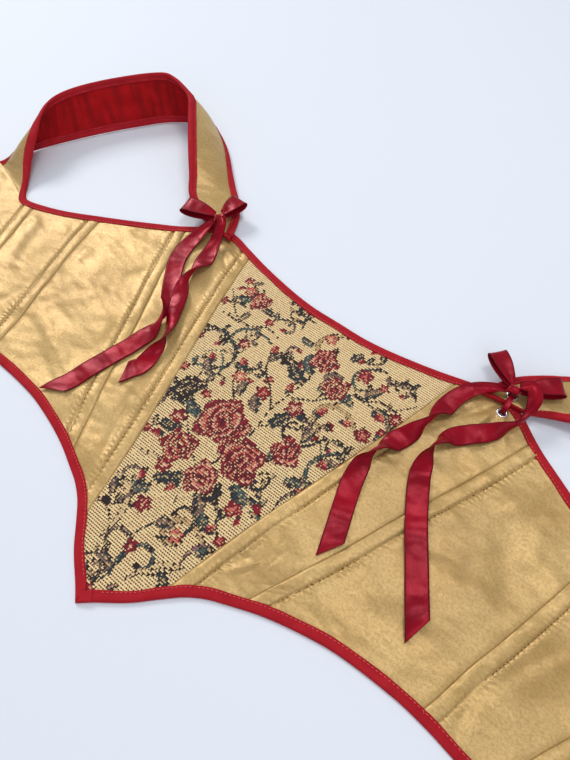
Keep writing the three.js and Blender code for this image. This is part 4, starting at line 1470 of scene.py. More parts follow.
@dataclass
class Chart:
    """The woven picture: one colour for each cell, painted motif over motif."""

    x: Array
    y: Array
    seed: int = 7
    colour: Array = field(init=False)
    worked: Array = field(init=False)
    chance: Array = field(init=False)

    def __post_init__(self) -> None:
        """Starts with the plain ground."""
        self.colour = np.tile(CREAM.light, (len(self.x), 1))
        self.worked = np.zeros(len(self.x), bool)
        rng = np.random.default_rng(self.seed)
        size = 400
        table = rng.random((size, size))
        column = np.floor(self.x / 0.9).astype(int) % size
        row = np.floor(self.y / 1.96).astype(int) % size
        self.chance = table[row, column]

    def paint(self, mask: Array, wool: Wool, cover: float = 1.0) -> None:
        """Weaves a colour into the cells of a mask.

        Args:
            mask: the cells.
            wool: the colour.
            cover: the share of the cells that take it.
        """
        cells = mask & (self.chance < cover)
        self.colour[cells] = wool.light
        self.worked |= cells

    def local(self, x: float, y: float, turn: float = 0) -> tuple[Array, Array]:
        """Each cell's place along and across an axis through a point.

        Args:
            x: the point.
            y: the point.
            turn: the axis's turn in degrees.

        Returns:
            Across and along at each cell.
        """
        angle = math.radians(turn)
        dx, dy = self.x - x, self.y - y
        return dx * math.cos(angle) + dy * math.sin(angle), -dx * math.sin(angle) + dy * math.cos(angle)

    def rose(self, x: float, y: float, radius: float, turn: float, heart: Wool = BLUSH) -> None:
        """A full-blown rose of turned petals.

        Args:
            x: its middle.
            y: its middle.
            radius: its half width.
            turn: its petals' turn in degrees.
            heart: the palest colour of its petals.
        """
        u, v = self.local(x, y, turn)
        angle = np.arctan2(v, u)
        ragged = 0.07 * (self.chance - 0.5)
        share = np.hypot(u, v * 1.08) / radius + ragged
        rim = 1 + 0.11 * np.cos(5 * angle) + 0.07 * np.cos(3 * angle + 1.3)
        inside = share < rim
        turns = share * 3.1 + 0.3 * np.sin(2 * angle + 4 * share) + angle / (2 * math.pi)
        fold = turns % 1
        self.paint(inside, CRIMSON)
        self.paint(inside & (fold > 0.5), CORAL, 0.8)
        self.paint(inside & (fold > 0.74), heart, 0.75)
        self.paint(inside & (fold < 0.24), WINE, 0.85)
        shaded = inside & (u * 0.6 - v > radius * 0.3)
        self.paint(shaded & (fold < 0.7), WINE, 0.45)
        self.paint(inside & (share > rim - 0.13), CRIMSON, 0.8)
        self.paint(inside & (share > rim - 0.06), WINE, 0.55)
        self.paint(share < 0.13, WINE)

    def blossom(self, x: float, y: float, radius: float, turn: float, petals: Wool, heart: Wool) -> None:
        """A small five-petalled flower.

        Args:
            x: its middle.
            y: its middle.
            radius: its half width.
            turn: its turn in degrees.
            petals: their colour.
            heart: the colour of its heart.
        """
        u, v = self.local(x, y, turn)
        angle, share = np.arctan2(v, u), np.hypot(u, v) / radius
        lobes = 0.62 + 0.38 * np.abs(np.cos(2.5 * angle))
        inside = share + 0.1 * (self.chance - 0.5) < lobes
        self.paint(inside, petals)
        self.paint(inside & (share > lobes - 0.22), WINE, 0.6)
        self.paint(inside & (share < 0.5) & (np.abs(np.cos(2.5 * angle)) > 0.8), heart, 0.7)
        self.paint(share < 0.24, heart)

    def leaf(self, x: float, y: float, length: float, turn: float, wool: Wool, plump: float = 0.32) -> None:
        """A pointed leaf from its stem end, with a vein and one shaded half.

        Args:
            x: its stem end.
            y: its stem end.
            length: its length.
            turn: its heading in degrees.
            wool: its colour.
            plump: its half width for a length of 1.
        """
        u, v = self.local(x, y, turn)
        t = u / length
        half = plump * length * np.sqrt(np.clip(t * (1 - t) * 4, 0, None)) * (1 - 0.35 * t)
        half = half * (1 + 0.16 * np.sin(t * 17))
        bend = v - 0.12 * length * np.sin(t * 2.6)
        inside = (t > 0) & (t < 1) & (np.abs(bend) < half)
        self.paint(inside, wool)
        self.paint(inside & (bend < -0.15 * half), SLATE, 0.75)
        self.paint(inside & (np.abs(bend) > half - 1.0), DARK, 0.6)
        self.paint(inside & (np.abs(bend) < 0.55), SAND, 0.6)

    def bud(self, x: float, y: float, size: float, turn: float) -> None:
        """A rosebud in its calyx.

        Args:
            x: its middle.
            y: its middle.
            size: its half length.
            turn: its heading in degrees.
        """
        u, v = self.local(x, y, turn)
        inside = (u / size) ** 2 + (v / (0.55 * size)) ** 2 + 0.2 * (self.chance - 0.5) < 1
        self.paint(inside, CRIMSON)
        self.paint(inside & (v > 0.1 * size), CORAL, 0.7)
        self.paint(inside & (u < -0.35 * size), SLATE)

    def berries(self, x: float, y: float, size: float, count: int) -> None:
        """A drooping cluster of dark berries.

        Args:
            x: its middle.
            y: its middle.
            size: its half width.
            count: number of berries.
        """
        for k in range(count):
            angle = 2.4 * k
            away = size * math.sqrt((k + 0.5) / count)
            u, v = self.local(x + away * math.cos(angle), y + 1.25 * away * math.sin(angle))
            share = np.hypot(u, v) / 2.7
            self.paint(share < 1, DARK)
            self.paint((share < 0.62) & (self.chance > 0.4), SLATE)
            self.paint((share < 0.3) & (self.chance > 0.5), SAND)

    def stroke(self, points: Sequence[Row], wide: float, wool: Wool, edge: Wool | None = None,
               taper: bool = True) -> None:
        """A curved stem or scroll line.

        Args:
            points: its places in order.
            wide: its width.
            wool: its colour.
            edge: the colour of its one shaded edge.
            taper: True to narrow it to both ends.
        """
        table = np.array(points, float)
        line = spline(table, np.linspace(0, len(table) - 1, 10 * len(table)))
        low, high = line.min(0) - wide, line.max(0) + wide
        near = np.flatnonzero(
            (self.x > low[0]) & (self.x < high[0]) & (self.y > low[1]) & (self.y < high[1]),
        )
        if not len(near):
            return
        gap = np.hypot(self.x[near, None] - line[None, :, 0], self.y[near, None] - line[None, :, 1])
        nearest = gap.argmin(1)
        distance = gap[np.arange(len(near)), nearest]
        share = nearest / (len(line) - 1)
        half = wide / 2 * (np.clip(4 * share * (1 - share), 0, 1) ** 0.5 * 0.75 + 0.25 if taper else 1)
        mask = np.zeros(len(self.x), bool)
        mask[near] = distance < half
        self.paint(mask, wool, 0.93)
        if edge is not None:
            outer = np.zeros(len(self.x), bool)
            outer[near] = (distance < half) & (distance > half - 0.9) & (self.chance[near] > 0.3)
            self.paint(outer, edge)

    def scroll(self, x: float, y: float, size: float, heading: float, curl: float, wide: float,
               wool: Wool) -> None:
        """A scroll that winds ever tighter from its start.

        Args:
            x: its start.
            y: its start.
            size: its length.
            heading: its first direction in degrees.
            curl: degrees that it turns in all, the way its sign says.
            wide: its greatest width.
            wool: its colour.
        """
        steps = 26
        points = [(x, y)]
        angle = math.radians(heading)
        for k in range(steps):
            share = k / steps
            angle += math.radians(curl) * 2 * share / steps
            px, py = points[-1]
            points.append((px + size / steps * math.cos(angle), py + size / steps * math.sin(angle)))
        self.stroke(points, wide, wool, DARK)
        u, v = self.local(*points[-1])
        self.paint(np.hypot(u, v) < 0.55 * wide + 0.6, DARK, 0.85)

    def spray(self, x: float, y: float, size: float, heading: float, curl: float, wool: Wool,
              flowers: bool) -> None:
        """A curling stem with leaves on both sides, and a bud and a small flower where it flowers.

        Args:
            x: its start.
            y: its start.
            size: its length.
            heading: its first direction in degrees.
            curl: degrees that it turns in all.
            wool: its leaves' colour.
            flowers: whether it bears flowers.
        """
        self.scroll(x, y, size, heading, curl, 2.2, wool)
        px, py, angle, steps = x, y, heading, 12
        for k in range(steps):
            angle += curl * 2 * (k / steps) / steps
            px += size / steps * math.cos(math.radians(angle))
            py += size / steps * math.sin(math.radians(angle))
            if k in (1, 3, 5, 8):
                self.leaf(px, py, 9.5 - 0.4 * k, angle + (58 if k % 4 == 1 else -58), wool, 0.3)
        if flowers:
            self.bud(px, py, 3.8, angle)
            self.blossom(x, y, 4.6, heading, CRIMSON, CORAL)


# Small sprays over the whole ground: start, length, heading and curl in degrees, wool, and how it ends
SPRAYS = (
    (0, 12, 34, 96, 170, TAUPE, True), (-34, 58, 40, 40, 250, SLATE, False),
    (46, 88, 44, 150, -250, SLATE, True), (-56, 118, 40, 60, -230, SLATE, True),
    (60, 112, 40, 120, 240, TEAL, True), (-62, 146, 38, 90, 250, SLATE, False),
    (66, 148, 42, 80, -250, TAUPE, True), (30, 128, 34, 10, 220, SLATE, False),
    (-72, 176, 44, 50, -250, TEAL, True), (78, 182, 40, 100, 260, SLATE, True),
    (-40, 168, 34, 140, -230, TAUPE, True), (52, 204, 36, 200, 250, MAUVE, True),
    (-84, 206, 44, 70, -240, SLATE, True), (-56, 222, 36, 20, 260, TAUPE, False),
    (86, 224, 38, 60, 250, TAUPE, True), (-10, 208, 36, 160, 240, SLATE, True),
    (30, 218, 34, 80, -240, TEAL, False), (-92, 246, 44, 20, 230, SLATE, True),
    (-46, 252, 40, 60, -260, TEAL, True), (-20, 262, 36, 100, 240, SLATE, False),
    (36, 268, 38, 10, 250, SLATE, True), (66, 258, 34, 70, -230, TAUPE, True),
    (-88, 276, 34, 350, -200, TAUPE, True), (2, 236, 34, 200, -250, MAUVE, True),
    (92, 262, 34, 120, 220, SLATE, False), (-26, 282, 30, 190, -180, SLATE, True),
)


@dataclass
class Tapestry:
    """The centre front panel: ribbed cream tapestry with a woven garland of roses."""

    cell: Row = (0.90, 0.98)
    half_width: float = 109.0      # the cells reach this far to each side, and this high
    height: float = 304.0
    seam_play: float = 0.05

    def inside(self, x: Array, y: Array, grow: float) -> Array:
        """Which places are on the panel, with its outline moved out by grow.

        Args:
            x: places across.
            y: places up.
            grow: how far the outline is moved out.

        Returns:
            True for each place on the panel.
        """
        reach = np.abs(x)
        in_seams = seam_distance("tapestry", reach, y) < grow - self.seam_play
        above = y > hem_inside(reach, PANEL_INSET) - grow
        return in_seams & above & (y < top_inside(reach, PANEL_INSET) + grow)

    def picture(self, x: Array, y: Array) -> Chart:
        """Paints the garland at the given cells.

        Args:
            x: the cells' middles.
            y: the cells' middles.

        Returns:
            The chart.
        """
        chart = Chart(x, y)
        for spray in SPRAYS:
            chart.spray(*spray)
        self.lower_scrolls(chart)
        self.side_scrolls(chart)
        self.stems_and_leaves(chart)
        self.flowers(chart)
        return chart

    @staticmethod
    def lower_scrolls(c: Chart) -> None:
        """The scrolls and sprays towards the point.

        Args:
            c: the chart.
        """
        for scroll in (
            (-20, 40, 92, 88, 330, 5.4, CREAM), (14, 30, 84, 70, -320, 5.0, CREAM),
            (42, 78, 62, 150, 290, 5.0, SAND), (-46, 102, 56, 20, -290, 4.6, CREAM),
            (-4, 22, 62, 62, 300, 3.6, TAUPE), (4, 26, 58, 110, -290, 3.2, TEAL),
            (-30, 64, 52, 64, 280, 3.6, TAUPE), (36, 58, 46, 100, -270, 3.2, MAUVE),
            (8, 62, 56, 30, 260, 3.2, SLATE),
        ):
            c.scroll(*scroll)
        c.stroke([(0, 14), (3, 34), (-3, 56), (4, 78), (-2, 100)], 2.0, SLATE)
        c.stroke([(-12, 34), (-24, 52), (-36, 60), (-44, 78)], 1.8, DARK)
        c.stroke([(14, 36), (26, 44), (34, 52), (46, 74)], 1.8, DARK)
        for x, y, length, turn, wool in (
            (0, 30, 14, 150, TAUPE), (2, 70, 15, 20, TAUPE), (28, 48, 13, -30, SLATE),
            (-36, 66, 13, 120, TAUPE), (40, 70, 12, 60, TEAL), (-18, 86, 16, 200, TEAL),
            (20, 92, 16, -20, TEAL), (-6, 96, 14, 100, SLATE), (10, 18, 9, 60, MAUVE),
            (-8, 16, 9, 130, MAUVE),
        ):
            c.leaf(x, y, length, turn, wool)
        c.blossom(-14, 74, 7, 10, CRIMSON, BLUSH)
        c.blossom(20, 72, 6, 40, CORAL, CREAM)
        c.bud(-30, 88, 5, 130)
        c.bud(34, 90, 5, 40)
        c.blossom(1, 48, 5.5, 0, CRIMSON, BLUSH)

    @staticmethod
    def side_scrolls(c: Chart) -> None:
        """The long scrolls beside and over the bouquet.

        Args:
            c: the chart.
        """
        for scroll in (
            (-84, 236, 78, 10, -270, 5.0, CREAM), (74, 210, 70, 140, 280, 5.0, SAND),
            (20, 282, 60, 200, 280, 4.6, SAND), (-88, 218, 84, 12, -250, 3.4, SLATE),
            (-30, 236, 66, 165, 300, 3.0, TEAL), (78, 196, 70, 215, 260, 3.4, TEAL),
            (56, 196, 62, 250, -280, 2.8, SLATE), (-64, 132, 52, 80, 300, 3.2, TAUPE),
            (60, 128, 44, 95, -260, 2.8, TAUPE), (60, 272, 54, 200, 260, 2.8, TEAL),
            (-14, 276, 48, 190, -280, 2.6, SLATE),
        ):
            c.scroll(*scroll)
        c.stroke([(-96, 262), (-84, 250), (-72, 240), (-58, 238), (-44, 246), (-30, 244)], 1.8, DARK)
        c.stroke([(96, 262), (84, 248), (70, 246), (58, 238), (46, 244)], 1.8, DARK)
        c.stroke([(-70, 196), (-60, 204), (-52, 200), (-46, 190), (-50, 180)], 1.8, TEAL)

    @staticmethod
    def stems_and_leaves(c: Chart) -> None:
        """The bouquet's green.

        Args:
            c: the chart.
        """
        stems = (
            ((0, 100), (4, 130), (10, 160), (8, 190), (14, 226), (10, 248)),
            ((4, 118), (22, 140), (38, 160), (44, 182), (40, 206)),
            ((-2, 116), (-22, 130), (-40, 146), (-54, 166), (-58, 190)),
            ((8, 188), (-4, 202), (-18, 214), (-24, 228)),
            ((14, 206), (30, 216), (42, 232), (58, 240), (72, 236)),
            ((10, 172), (30, 186), (52, 190), (64, 178)),
            ((-18, 176), (-32, 190), (-36, 204)),
            ((-70, 256), (-64, 266), (-72, 276)),
        )
        for stem in stems:
            c.stroke(stem, 1.9, SLATE, DARK, taper=False)
        for x, y, length, turn, wool in (
            (-30, 150, 20, 155, TEAL), (-34, 134, 18, 190, SLATE), (30, 158, 18, 20, TEAL),
            (26, 124, 20, -35, TEAL), (-8, 106, 20, 215, SLATE), (10, 104, 18, -50, TAUPE),
            (0, 178, 18, 115, TAUPE), (16, 176, 20, 62, SLATE), (-20, 182, 15, 95, TAUPE),
            (44, 182, 15, 80, TAUPE), (36, 196, 14, 150, SLATE), (-50, 182, 15, 130, TAUPE),
            (-60, 186, 13, 70, MAUVE), (14, 222, 22, 150, SLATE), (12, 232, 20, 118, TEAL),
            (22, 236, 17, 30, TAUPE), (42, 232, 15, -20, TEAL), (58, 242, 16, 50, TAUPE),
            (70, 238, 15, -10, SLATE), (-22, 222, 14, 60, TAUPE), (-30, 206, 13, 190, TEAL),
            (-72, 262, 14, 200, TEAL), (-60, 260, 13, -10, SLATE), (-66, 250, 12, 255, TAUPE),
            (64, 178, 14, 5, TAUPE), (52, 148, 15, 20, TEAL), (-2, 256, 13, 170, TEAL),
            (30, 262, 13, 60, SLATE), (84, 222, 12, -70, TEAL),
        ):
            c.leaf(x, y, length, turn, wool)

    @staticmethod
    def flowers(c: Chart) -> None:
        """The roses, buds and berries, the ones in front last.

        Args:
            c: the chart.
        """
        c.berries(-56, 160, 10.5, 21)
        c.berries(20, 110, 6, 8)
        c.berries(-12, 232, 4.5, 6)
        for x, y, size, turn in (
            (-24, 232, 6, 110), (-36, 208, 6, 140), (40, 210, 6, 70), (76, 234, 6.5, -10),
            (66, 176, 6, -10), (8, 212, 5.5, 100), (-60, 196, 5, 120), (60, 214, 5, 20),
            (-46, 120, 5.5, 200), (50, 122, 5.5, -30), (-8, 96, 5, 250),
        ):
            c.bud(x, y, size, turn)
        for x, y, radius, turn, petals, heart in (
            (22, 200, 8, 10, CRIMSON, BLUSH), (-6, 196, 7, 30, CRIMSON, CORAL),
            (-30, 196, 6.5, 0, CORAL, CREAM), (48, 258, 7.5, 20, CRIMSON, CORAL),
            (76, 214, 7, 50, CRIMSON, CORAL), (88, 240, 6, 10, CRIMSON, BLUSH),
            (-44, 140, 7, 15, CRIMSON, BLUSH), (-80, 268, 6, 30, CORAL, CREAM),
            (38, 110, 7, 0, CRIMSON, CORAL), (-24, 104, 6.5, 25, CRIMSON, BLUSH),
            (6, 270, 6, 45, CORAL, CREAM), (-48, 222, 5.5, 10, CRIMSON, BLUSH),
        ):
            c.blossom(x, y, radius, turn, petals, heart)
        c.rose(-66, 264, 9.5, 40)
        c.rose(14, 250, 11.5, 10)
        c.rose(36, 234, 11, 200, CREAM)
        c.rose(40, 168, 12, 120)
        c.rose(4, 114, 13, 260)
        c.rose(-26, 122, 14, 60, CREAM)
        c.rose(18, 142, 18, 330)
        c.rose(-14, 158, 20.5, 20)

    @staticmethod
    def woven(chart: Chart, x: Array, y: Array, cell: Row) -> Array:
        """Turns the painted cells into ribs with dark crossings between them, and painted shade in the rows
        between the ribs.

        Args:
            chart: the painted picture.
            x: the cells' middles.
            y: the cells' middles.
            cell: a cell's width and height.

        Returns:
            A colour for each cell.
        """
        column = np.round(x / cell[0] - 0.5).astype(int)
        row = np.round(y / cell[1] - 0.5).astype(int)
        gap = row % 2 == 1
        crossing = gap & ((column + row // 2) % 2 == 0)
        rng = np.random.default_rng(11)
        wear = rng.random(len(x))
        colour = chart.colour.copy()
        ground = ~chart.worked
        colour[ground & ~gap] *= 1.16
        # Painted shade: the rows between the ribs are darkened, the motifs' more than the ground's; the dots
        # at the crossings are the dark warp.
        shade = np.where(ground, 0.66, 0.55)
        colour[gap] *= shade[gap, None]
        dots = crossing & ground & (wear < 0.86)
        strength = np.clip((330 - y[dots]) / 190, 0.5, 1)[:, None]
        colour[dots] = (1 - strength) * colour[dots] + strength * DARK.light
        flecks = crossing & ~ground & (wear < 0.3)
        colour[flecks] = DARK.light * 0.7
        lights = ~gap & ~ground & (wear > 0.84)
        colour[lights] = 0.3 * colour[lights] + 0.7 * CREAM.light
        return np.clip(colour * (0.85 + 0.3 * rng.random((len(x), 1))), 0, 1)

    def make(self, finishes: Wardrobe) -> Piece:
        """Builds the panel as a grid of woven cells, clipped to its outline.

        Args:
            finishes: the materials.

        Returns:
            The piece.
        """
        wide, tall = self.cell
        half = math.ceil(self.half_width / wide)
        rows = np.arange(math.ceil(self.height / tall) + 1)
        gx, gy = np.meshgrid(np.arange(-half, half + 1) * wide, rows * tall)
        cx, cy = gx[:-1, :-1] + wide / 2, gy[:-1, :-1] + tall / 2
        kept = self.inside(cx, cy, 0.28)
        count = gx.shape[1]
        row, column = np.nonzero(kept)
        first = row * count + column
        corners = np.stack([first, first + 1, first + count + 1, first + count], 1)
        used, quads = np.unique(corners, return_inverse=True)
        quads = quads.reshape(-1, 4)
        x, y = gx.ravel()[used], gy.ravel()[used]
        reach = np.abs(x)
        y = np.clip(y, hem_inside(reach, PANEL_INSET), top_inside(reach, PANEL_INSET))
        d = seam_distance("tapestry", reach, y)
        reach = reach - np.maximum(d + self.seam_play, 0) * lean(SEAM["tapestry"], y)
        x = np.sign(x) * reach
        z = CLOTH - 0.5 * bell(d, 1.5) + self.swell(x, y) * edge_fade(reach, y)
        face = np.stack([x, y, z], 1)
        piece = self.close(face, quads)
        middles = np.stack([cx[kept], cy[kept]], 1)
        quantised = (np.floor(middles / (wide, 2 * tall)) + 0.5) * (wide, 2 * tall)
        chart = self.picture(quantised[:, 0], quantised[:, 1])
        colour = self.woven(chart, middles[:, 0], middles[:, 1], self.cell)
        loops = len(piece.data.loops)
        values = np.ones((loops, 4), np.float32)
        values[:, :3] = SAND.light
        values[: 4 * len(quads), :3] = np.repeat(colour, 4, axis=0)
        layer = piece.data.color_attributes.new(MOTIF, "FLOAT_COLOR", "CORNER")
        layer.data.foreach_set("color", values.ravel())
        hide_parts("stomacher")
        LOG.info("tapestry: %d cells", len(quads))
        return dress(piece, "tapestry", finishes.tapestry, finishes.lining)

    @staticmethod
    def swell(x: Array, y: Array) -> Array:
        """The tapestry's soft unevenness, with a shallow crease down its middle.

        Args:
            x: places across.
            y: places up.

        Returns:
            The heights.
        """
        return (
            0.16 * np.sin(x / 14.0 + np.sin(y / 37.0)) * np.sin(y / 19.0) + 0.08 * np.sin(x / 6.1 + y / 8.7)
            + 0.35 * bell(x - 12 - 0.12 * (y - 240), 3.2) * bell(y - 232, 34)
            - 0.3 * bell(x - 18 - 0.12 * (y - 240), 2.6) * bell(y - 232, 30)
        )

    @staticmethod
    def close(face: Array, quads: Array) -> Piece:
        """Adds the rim and the flat underside to the woven face.

        Args:
            face: the face's points.
            quads: its cells.

        Returns:
            The closed piece.
        """
        edges = np.stack([quads, np.roll(quads, -1, axis=1)], 2).reshape(-1, 2)
        ways = set(map(tuple, edges.tolist()))
        follow = {a: b for a, b in ways if (b, a) not in ways}
        start = next(iter(follow))
        rim = [start]
        while follow[rim[-1]] != start:
            rim.append(follow[rim[-1]])
        return on_table("stomacher_tapestry", face, quads.tolist(), rim, face[:, :2])


# The satin panels


@dataclass(frozen=True)
class PanelCut:
    """A satin panel between two seams."""

    name: str
    inner: str
    outer: str


PANELS = (
    PanelCut("front_panel", "tapestry", "front"),
    PanelCut("side_front_panel", "front", "side_front"),
    PanelCut("side_panel", "side_front", "side"),
    PanelCut("back_panel", "side", "centre_back"),
)


def lacing_places() -> list[Row]:
    """The lacing eyelets' middles down the left centre back edge.

    Returns:
        x and y of each of them.
    """
    foot, head = np.array(BACK_HEM), np.array(BACK_NECK)
    run = head - foot
    inward = np.array([-run[1], run[0]]) / np.linalg.norm(run) * LACING_INSET
    shares = (0.1 + 0.8 * k / (LACING_EYELETS - 1) for k in range(LACING_EYELETS))
    return [tuple(foot + run * share + inward) for share in shares]


@dataclass
class SatinPanels:
    """The eight gold panels with their sewn boning channels."""

    seam_play: float = 0.05
    channel_columns: int = 26
    channel_reach: float = 15.0
    row_step: float = 1.0
    step: float = 1.5
    hole: float = 3.3
    thinnest: float = 0.7          # the face never comes lower than this
    soft: float = 0.12             # how softly it stops there

    def grid(self, cut: PanelCut, side: Side) -> Array:
        """A panel's face.

        Args:
            cut: the panel.
            side: its side.

        Returns:
            A grid of points of the left half, with that side's relief.
        """
        back = cut.outer == "centre_back"
        inner = seam_line(cut.inner, self.seam_play)
        outer = seam_line(cut.outer, -PANEL_INSET if back else -self.seam_play)
        foot_a, head_a, foot_b, head_b = inner(0.0), inner(1.0), outer(0.0), outer(1.0)
        length = math.dist(foot_a, head_a)
        t = np.linspace(0, 1, int(length / self.row_step) + 1)[:, None]
        (ax, ay), (bx, by) = inner(t), outer(t)
        width = np.hypot(bx - ax, by - ay)
        near = np.linspace(0, self.channel_reach, self.channel_columns)[None, :] / width
        wide = float(width.max()) - self.channel_reach
        shares = np.linspace(0, 1, int(wide / self.step) + 2)[None, 1:]
        start = self.channel_reach / width
        s = np.hstack([near, start + (1 - start) * shares])
        foot_x = foot_a[0] + (foot_b[0] - foot_a[0]) * s
        head_x = head_a[0] + (head_b[0] - head_a[0]) * s
        foot_y, head_y = hem_inside(foot_x, PANEL_INSET), top_inside(head_x, PANEL_INSET)
        low = foot_a[1] + (foot_b[1] - foot_a[1]) * s
        high = head_a[1] + (head_b[1] - head_a[1]) * s
        x = ax + (bx - ax) * s
        y = foot_y + (head_y - foot_y) * t + ay + (by - ay) * s - (low + (high - low) * t)
        z = self.soft * np.logaddexp(
            (CLOTH + relief(side.value, x, y) * edge_fade(x, y)) / self.soft, self.thinnest / self.soft
        )
        return np.dstack([x, y, z])

    def make(self, finishes: Wardrobe) -> None:
        """Builds the panels of both sides.

        Args:
            finishes: the materials.
        """
        for side in Side:
            for cut in PANELS:
                grid = mirrored(self.grid(cut, side), side)
                name = f"{cut.name}_{side.word}"
                piece = laid_panel(f"{name}_satin", grid, grid[..., :2])
                if cut.name == "front_panel":
                    cut_holes(piece, [(side.value * FRONT_EYELET[0], FRONT_EYELET[1])], self.hole)
                if cut.name == "back_panel":
                    cut_holes(piece, [(side.value * x, y) for x, y in lacing_places()], self.hole)
                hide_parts(name)
                dress(piece, "gold_satin", finishes.satin, finishes.lining)
                self.declare(piece, grid)
        LOG.info("satin: %d panels a side", len(PANELS))

    @staticmethod
    def declare(piece: Piece, grid: Array) -> None:
        """Works out the panel's flat size, as wide and long as its outline; the result is not kept.

        Args:
            piece: the panel; not used.
            grid: its face's points.
        """
        low, high = grid.reshape(-1, 3).min(0), grid.reshape(-1, 3).max(0)
        flat = (float(high[0] - low[0]) * MM, float(high[1] - low[1]) * MM)


# The straps


@dataclass
class StrapForm:
    """The standing strap's middle surface, in the left half, running flat into the back panel."""

    side: Side
    landing: float = 1.6           # rows over which it comes down on to the panel
    settle: float = 1.1            # how far it comes down
    sink: float = 4.0              # for each row past its root
    under: float = 0.3             # rows that run on under the panel

    def __post_init__(self) -> None:
        """Reads the sections."""
        table = np.array([(*neck, *arm, swell) for neck, arm, swell in STRAP], float)
        if self.side is Side.RIGHT:
            table[:len(RIGHT_STRAP_SHIFT), [0, 3]] += np.array(RIGHT_STRAP_SHIFT)[:, None]
        beyond = 2 * table[-1] - table[-2]
        beyond[[2, 5, 6]] = table[-2, [2, 5, 6]]
        self.table = np.vstack([table, beyond])
        self.last = len(STRAP) - 1
        self.places = np.linspace(0, self.last, 40 * self.last + 1)
        fine = spline(self.table, self.places)
        self.lengths = run_length((fine[:, :3] + fine[:, 3:6]) / 2)

    @property
    def length(self) -> float:
        """The strap's length along its middle."""
        return float(self.lengths[-1])

    def row_at(self, distance: Array) -> Array:
        """The row at each distance along the strap's middle."""
        return np.interp(distance, self.lengths, self.places)

    def width(self, row: Array) -> Array:
        """The strap's width at each row."""
        table = spline(self.table, row)
        return np.linalg.norm(table[:, 3:6] - table[:, :3], axis=1)

    def at(self, row: Array, share: Array, out: Array | float) -> Array:
        """Places on the strap.

        Args:
            row: one for each station.
            share: stations by columns, 0 at the neck edge and 1 at the armhole edge.
            out: the distance towards the satin side, of the same size as share.

        Returns:
            Stations by columns by three.
        """
        table = spline(self.table, row)
        neck, arm, swell = table[:, :3], table[:, 3:6], table[:, 6]
        before = spline(self.table, np.maximum(row - 0.5, 0))
        after = spline(self.table, np.minimum(row + 0.5, self.last))
        along = (after[:, :3] + after[:, 3:6] - before[:, :3] - before[:, 3:6]) / 2
        across = arm - neck
        outward = unit(np.cross(across, along))
        down = np.clip((row - self.last + self.landing) / self.landing, 0, 1)
        settled = self.settle * down * down * (3 - 2 * down) + self.sink * np.maximum(row - self.last, 0)
        bulge = swell[:, None] * 4 * share * (1 - share) + out - settled[:, None]
        points = neck[:, None] + across[:, None] * share[..., None] + outward[:, None] * bulge[..., None]
        points[..., 2] = np.maximum(points[..., 2], 0.02)
        return points


@dataclass
class Straps:
    """Both shoulder straps: satin outside and red lining inside, both inside the bindings."""

    stations: int = 236
    columns: int = 25
    hole: float = 3.3

    def layer(self, form: StrapForm, outer: float, inner: float, ripple: float) -> tuple[Array, Array, Array]:
        """One layer of cloth.

        Args:
            form: the strap.
            outer: its face's distance out from the strap's middle.
            inner: its back's.
            ripple: height of the puckers that the binding's stitches pull.

        Returns:
            The face's grid, the back's grid and the map.
        """
        distance = np.linspace(STRAP_INSET, form.length, self.stations)
        row = form.row_at(distance)
        beyond = np.linspace(0, 1, 6)[1:]
        row = np.append(row, form.last + form.under * beyond)
        distance = np.append(distance, form.length + 6 * beyond)
        width = form.width(row)[:, None]
        share = np.linspace(0, 1, self.columns)[None]
        inset = STRAP_INSET + (width - 2 * STRAP_INSET) * share
        edge = np.minimum(inset, width - inset)
        near = 0.45 + 0.55 * bell(edge - BINDING_WIDTH, 6.0)
        run = distance[:, None]
        wander = 1.9 * np.sin(run / 11.0) + 0.9 * np.sin(run / 5.3 + 0.2 * inset)
        wave = np.sin(run / 1.45 + wander + 0.05 * inset) * (0.6 + 0.4 * np.sin(run / 8.7 + 0.11 * inset))
        slow = np.sin(run / 6.1 + 0.07 * inset + 1.1 * np.sin(run / 19.0))
        on_edge = np.clip((edge - BINDING_WIDTH + 1) / 3.5, 0, 1)
        lift = ripple * (0.6 * wave * near + 0.55 * slow) * on_edge
        outside = outer > 0.5
        face = form.at(row, inset / width, outer + lift * outside)
        back = form.at(row, inset / width, inner + lift * (not outside))
        uvs = np.dstack([inset, np.repeat(run, self.columns, 1)])
        return face, back, uvs

    def make(self, finishes: Wardrobe) -> None:
        """Builds both straps' layers.

        Args:
            finishes: the materials.
        """
        for side in Side:
            form = StrapForm(side)
            hole = [(side.value * (STRAP_EYELET[0] + side.shift), STRAP_EYELET[1])]
            for kind, outer, inner, ripple, slot, material in (
                ("strap", 1.1, 0.05, 0.3, "gold_satin", finishes.satin),
                ("strap_lining", -0.05, -1.1, 0.8, "strap_lining", finishes.lining),
            ):
                face, back, uvs = self.layer(form, outer, inner, ripple)
                name = f"{kind}_{side.word}"
                grids = (mirrored(face, side), mirrored(back, side), mirrored(uvs, side))
                piece = faces_out(shell(f"{name}_cloth", *grids))
                cut_holes(piece, hole, self.hole)
                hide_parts(name)
                dress(piece, slot, material)
                width = float(form.width(np.arange(form.last + 1.0)).max())
                area = float(np.mean(form.width(form.row_at(np.linspace(0, form.length, 60))))) * form.length
        LOG.info("straps: satin and lining")


# The bindings


# A bias fold on a laid edge: distance in from the edge, and height
LAID_FOLD = (
    (0.0, 0.0), (-0.15, 1.1), (0.05, 2.1), (0.6, 2.8), (1.6, 3.15), (2.8, 3.22), (4.0, 3.12), (4.7, 2.9),
    (5.2, 2.62), (5.7, 2.84), (6.3, 2.98), (6.9, 2.86), (7.25, 2.5), (7.1, 2.2), (6.6, 2.2), (1.5, 2.2),
    (1.2, 0.0),
)
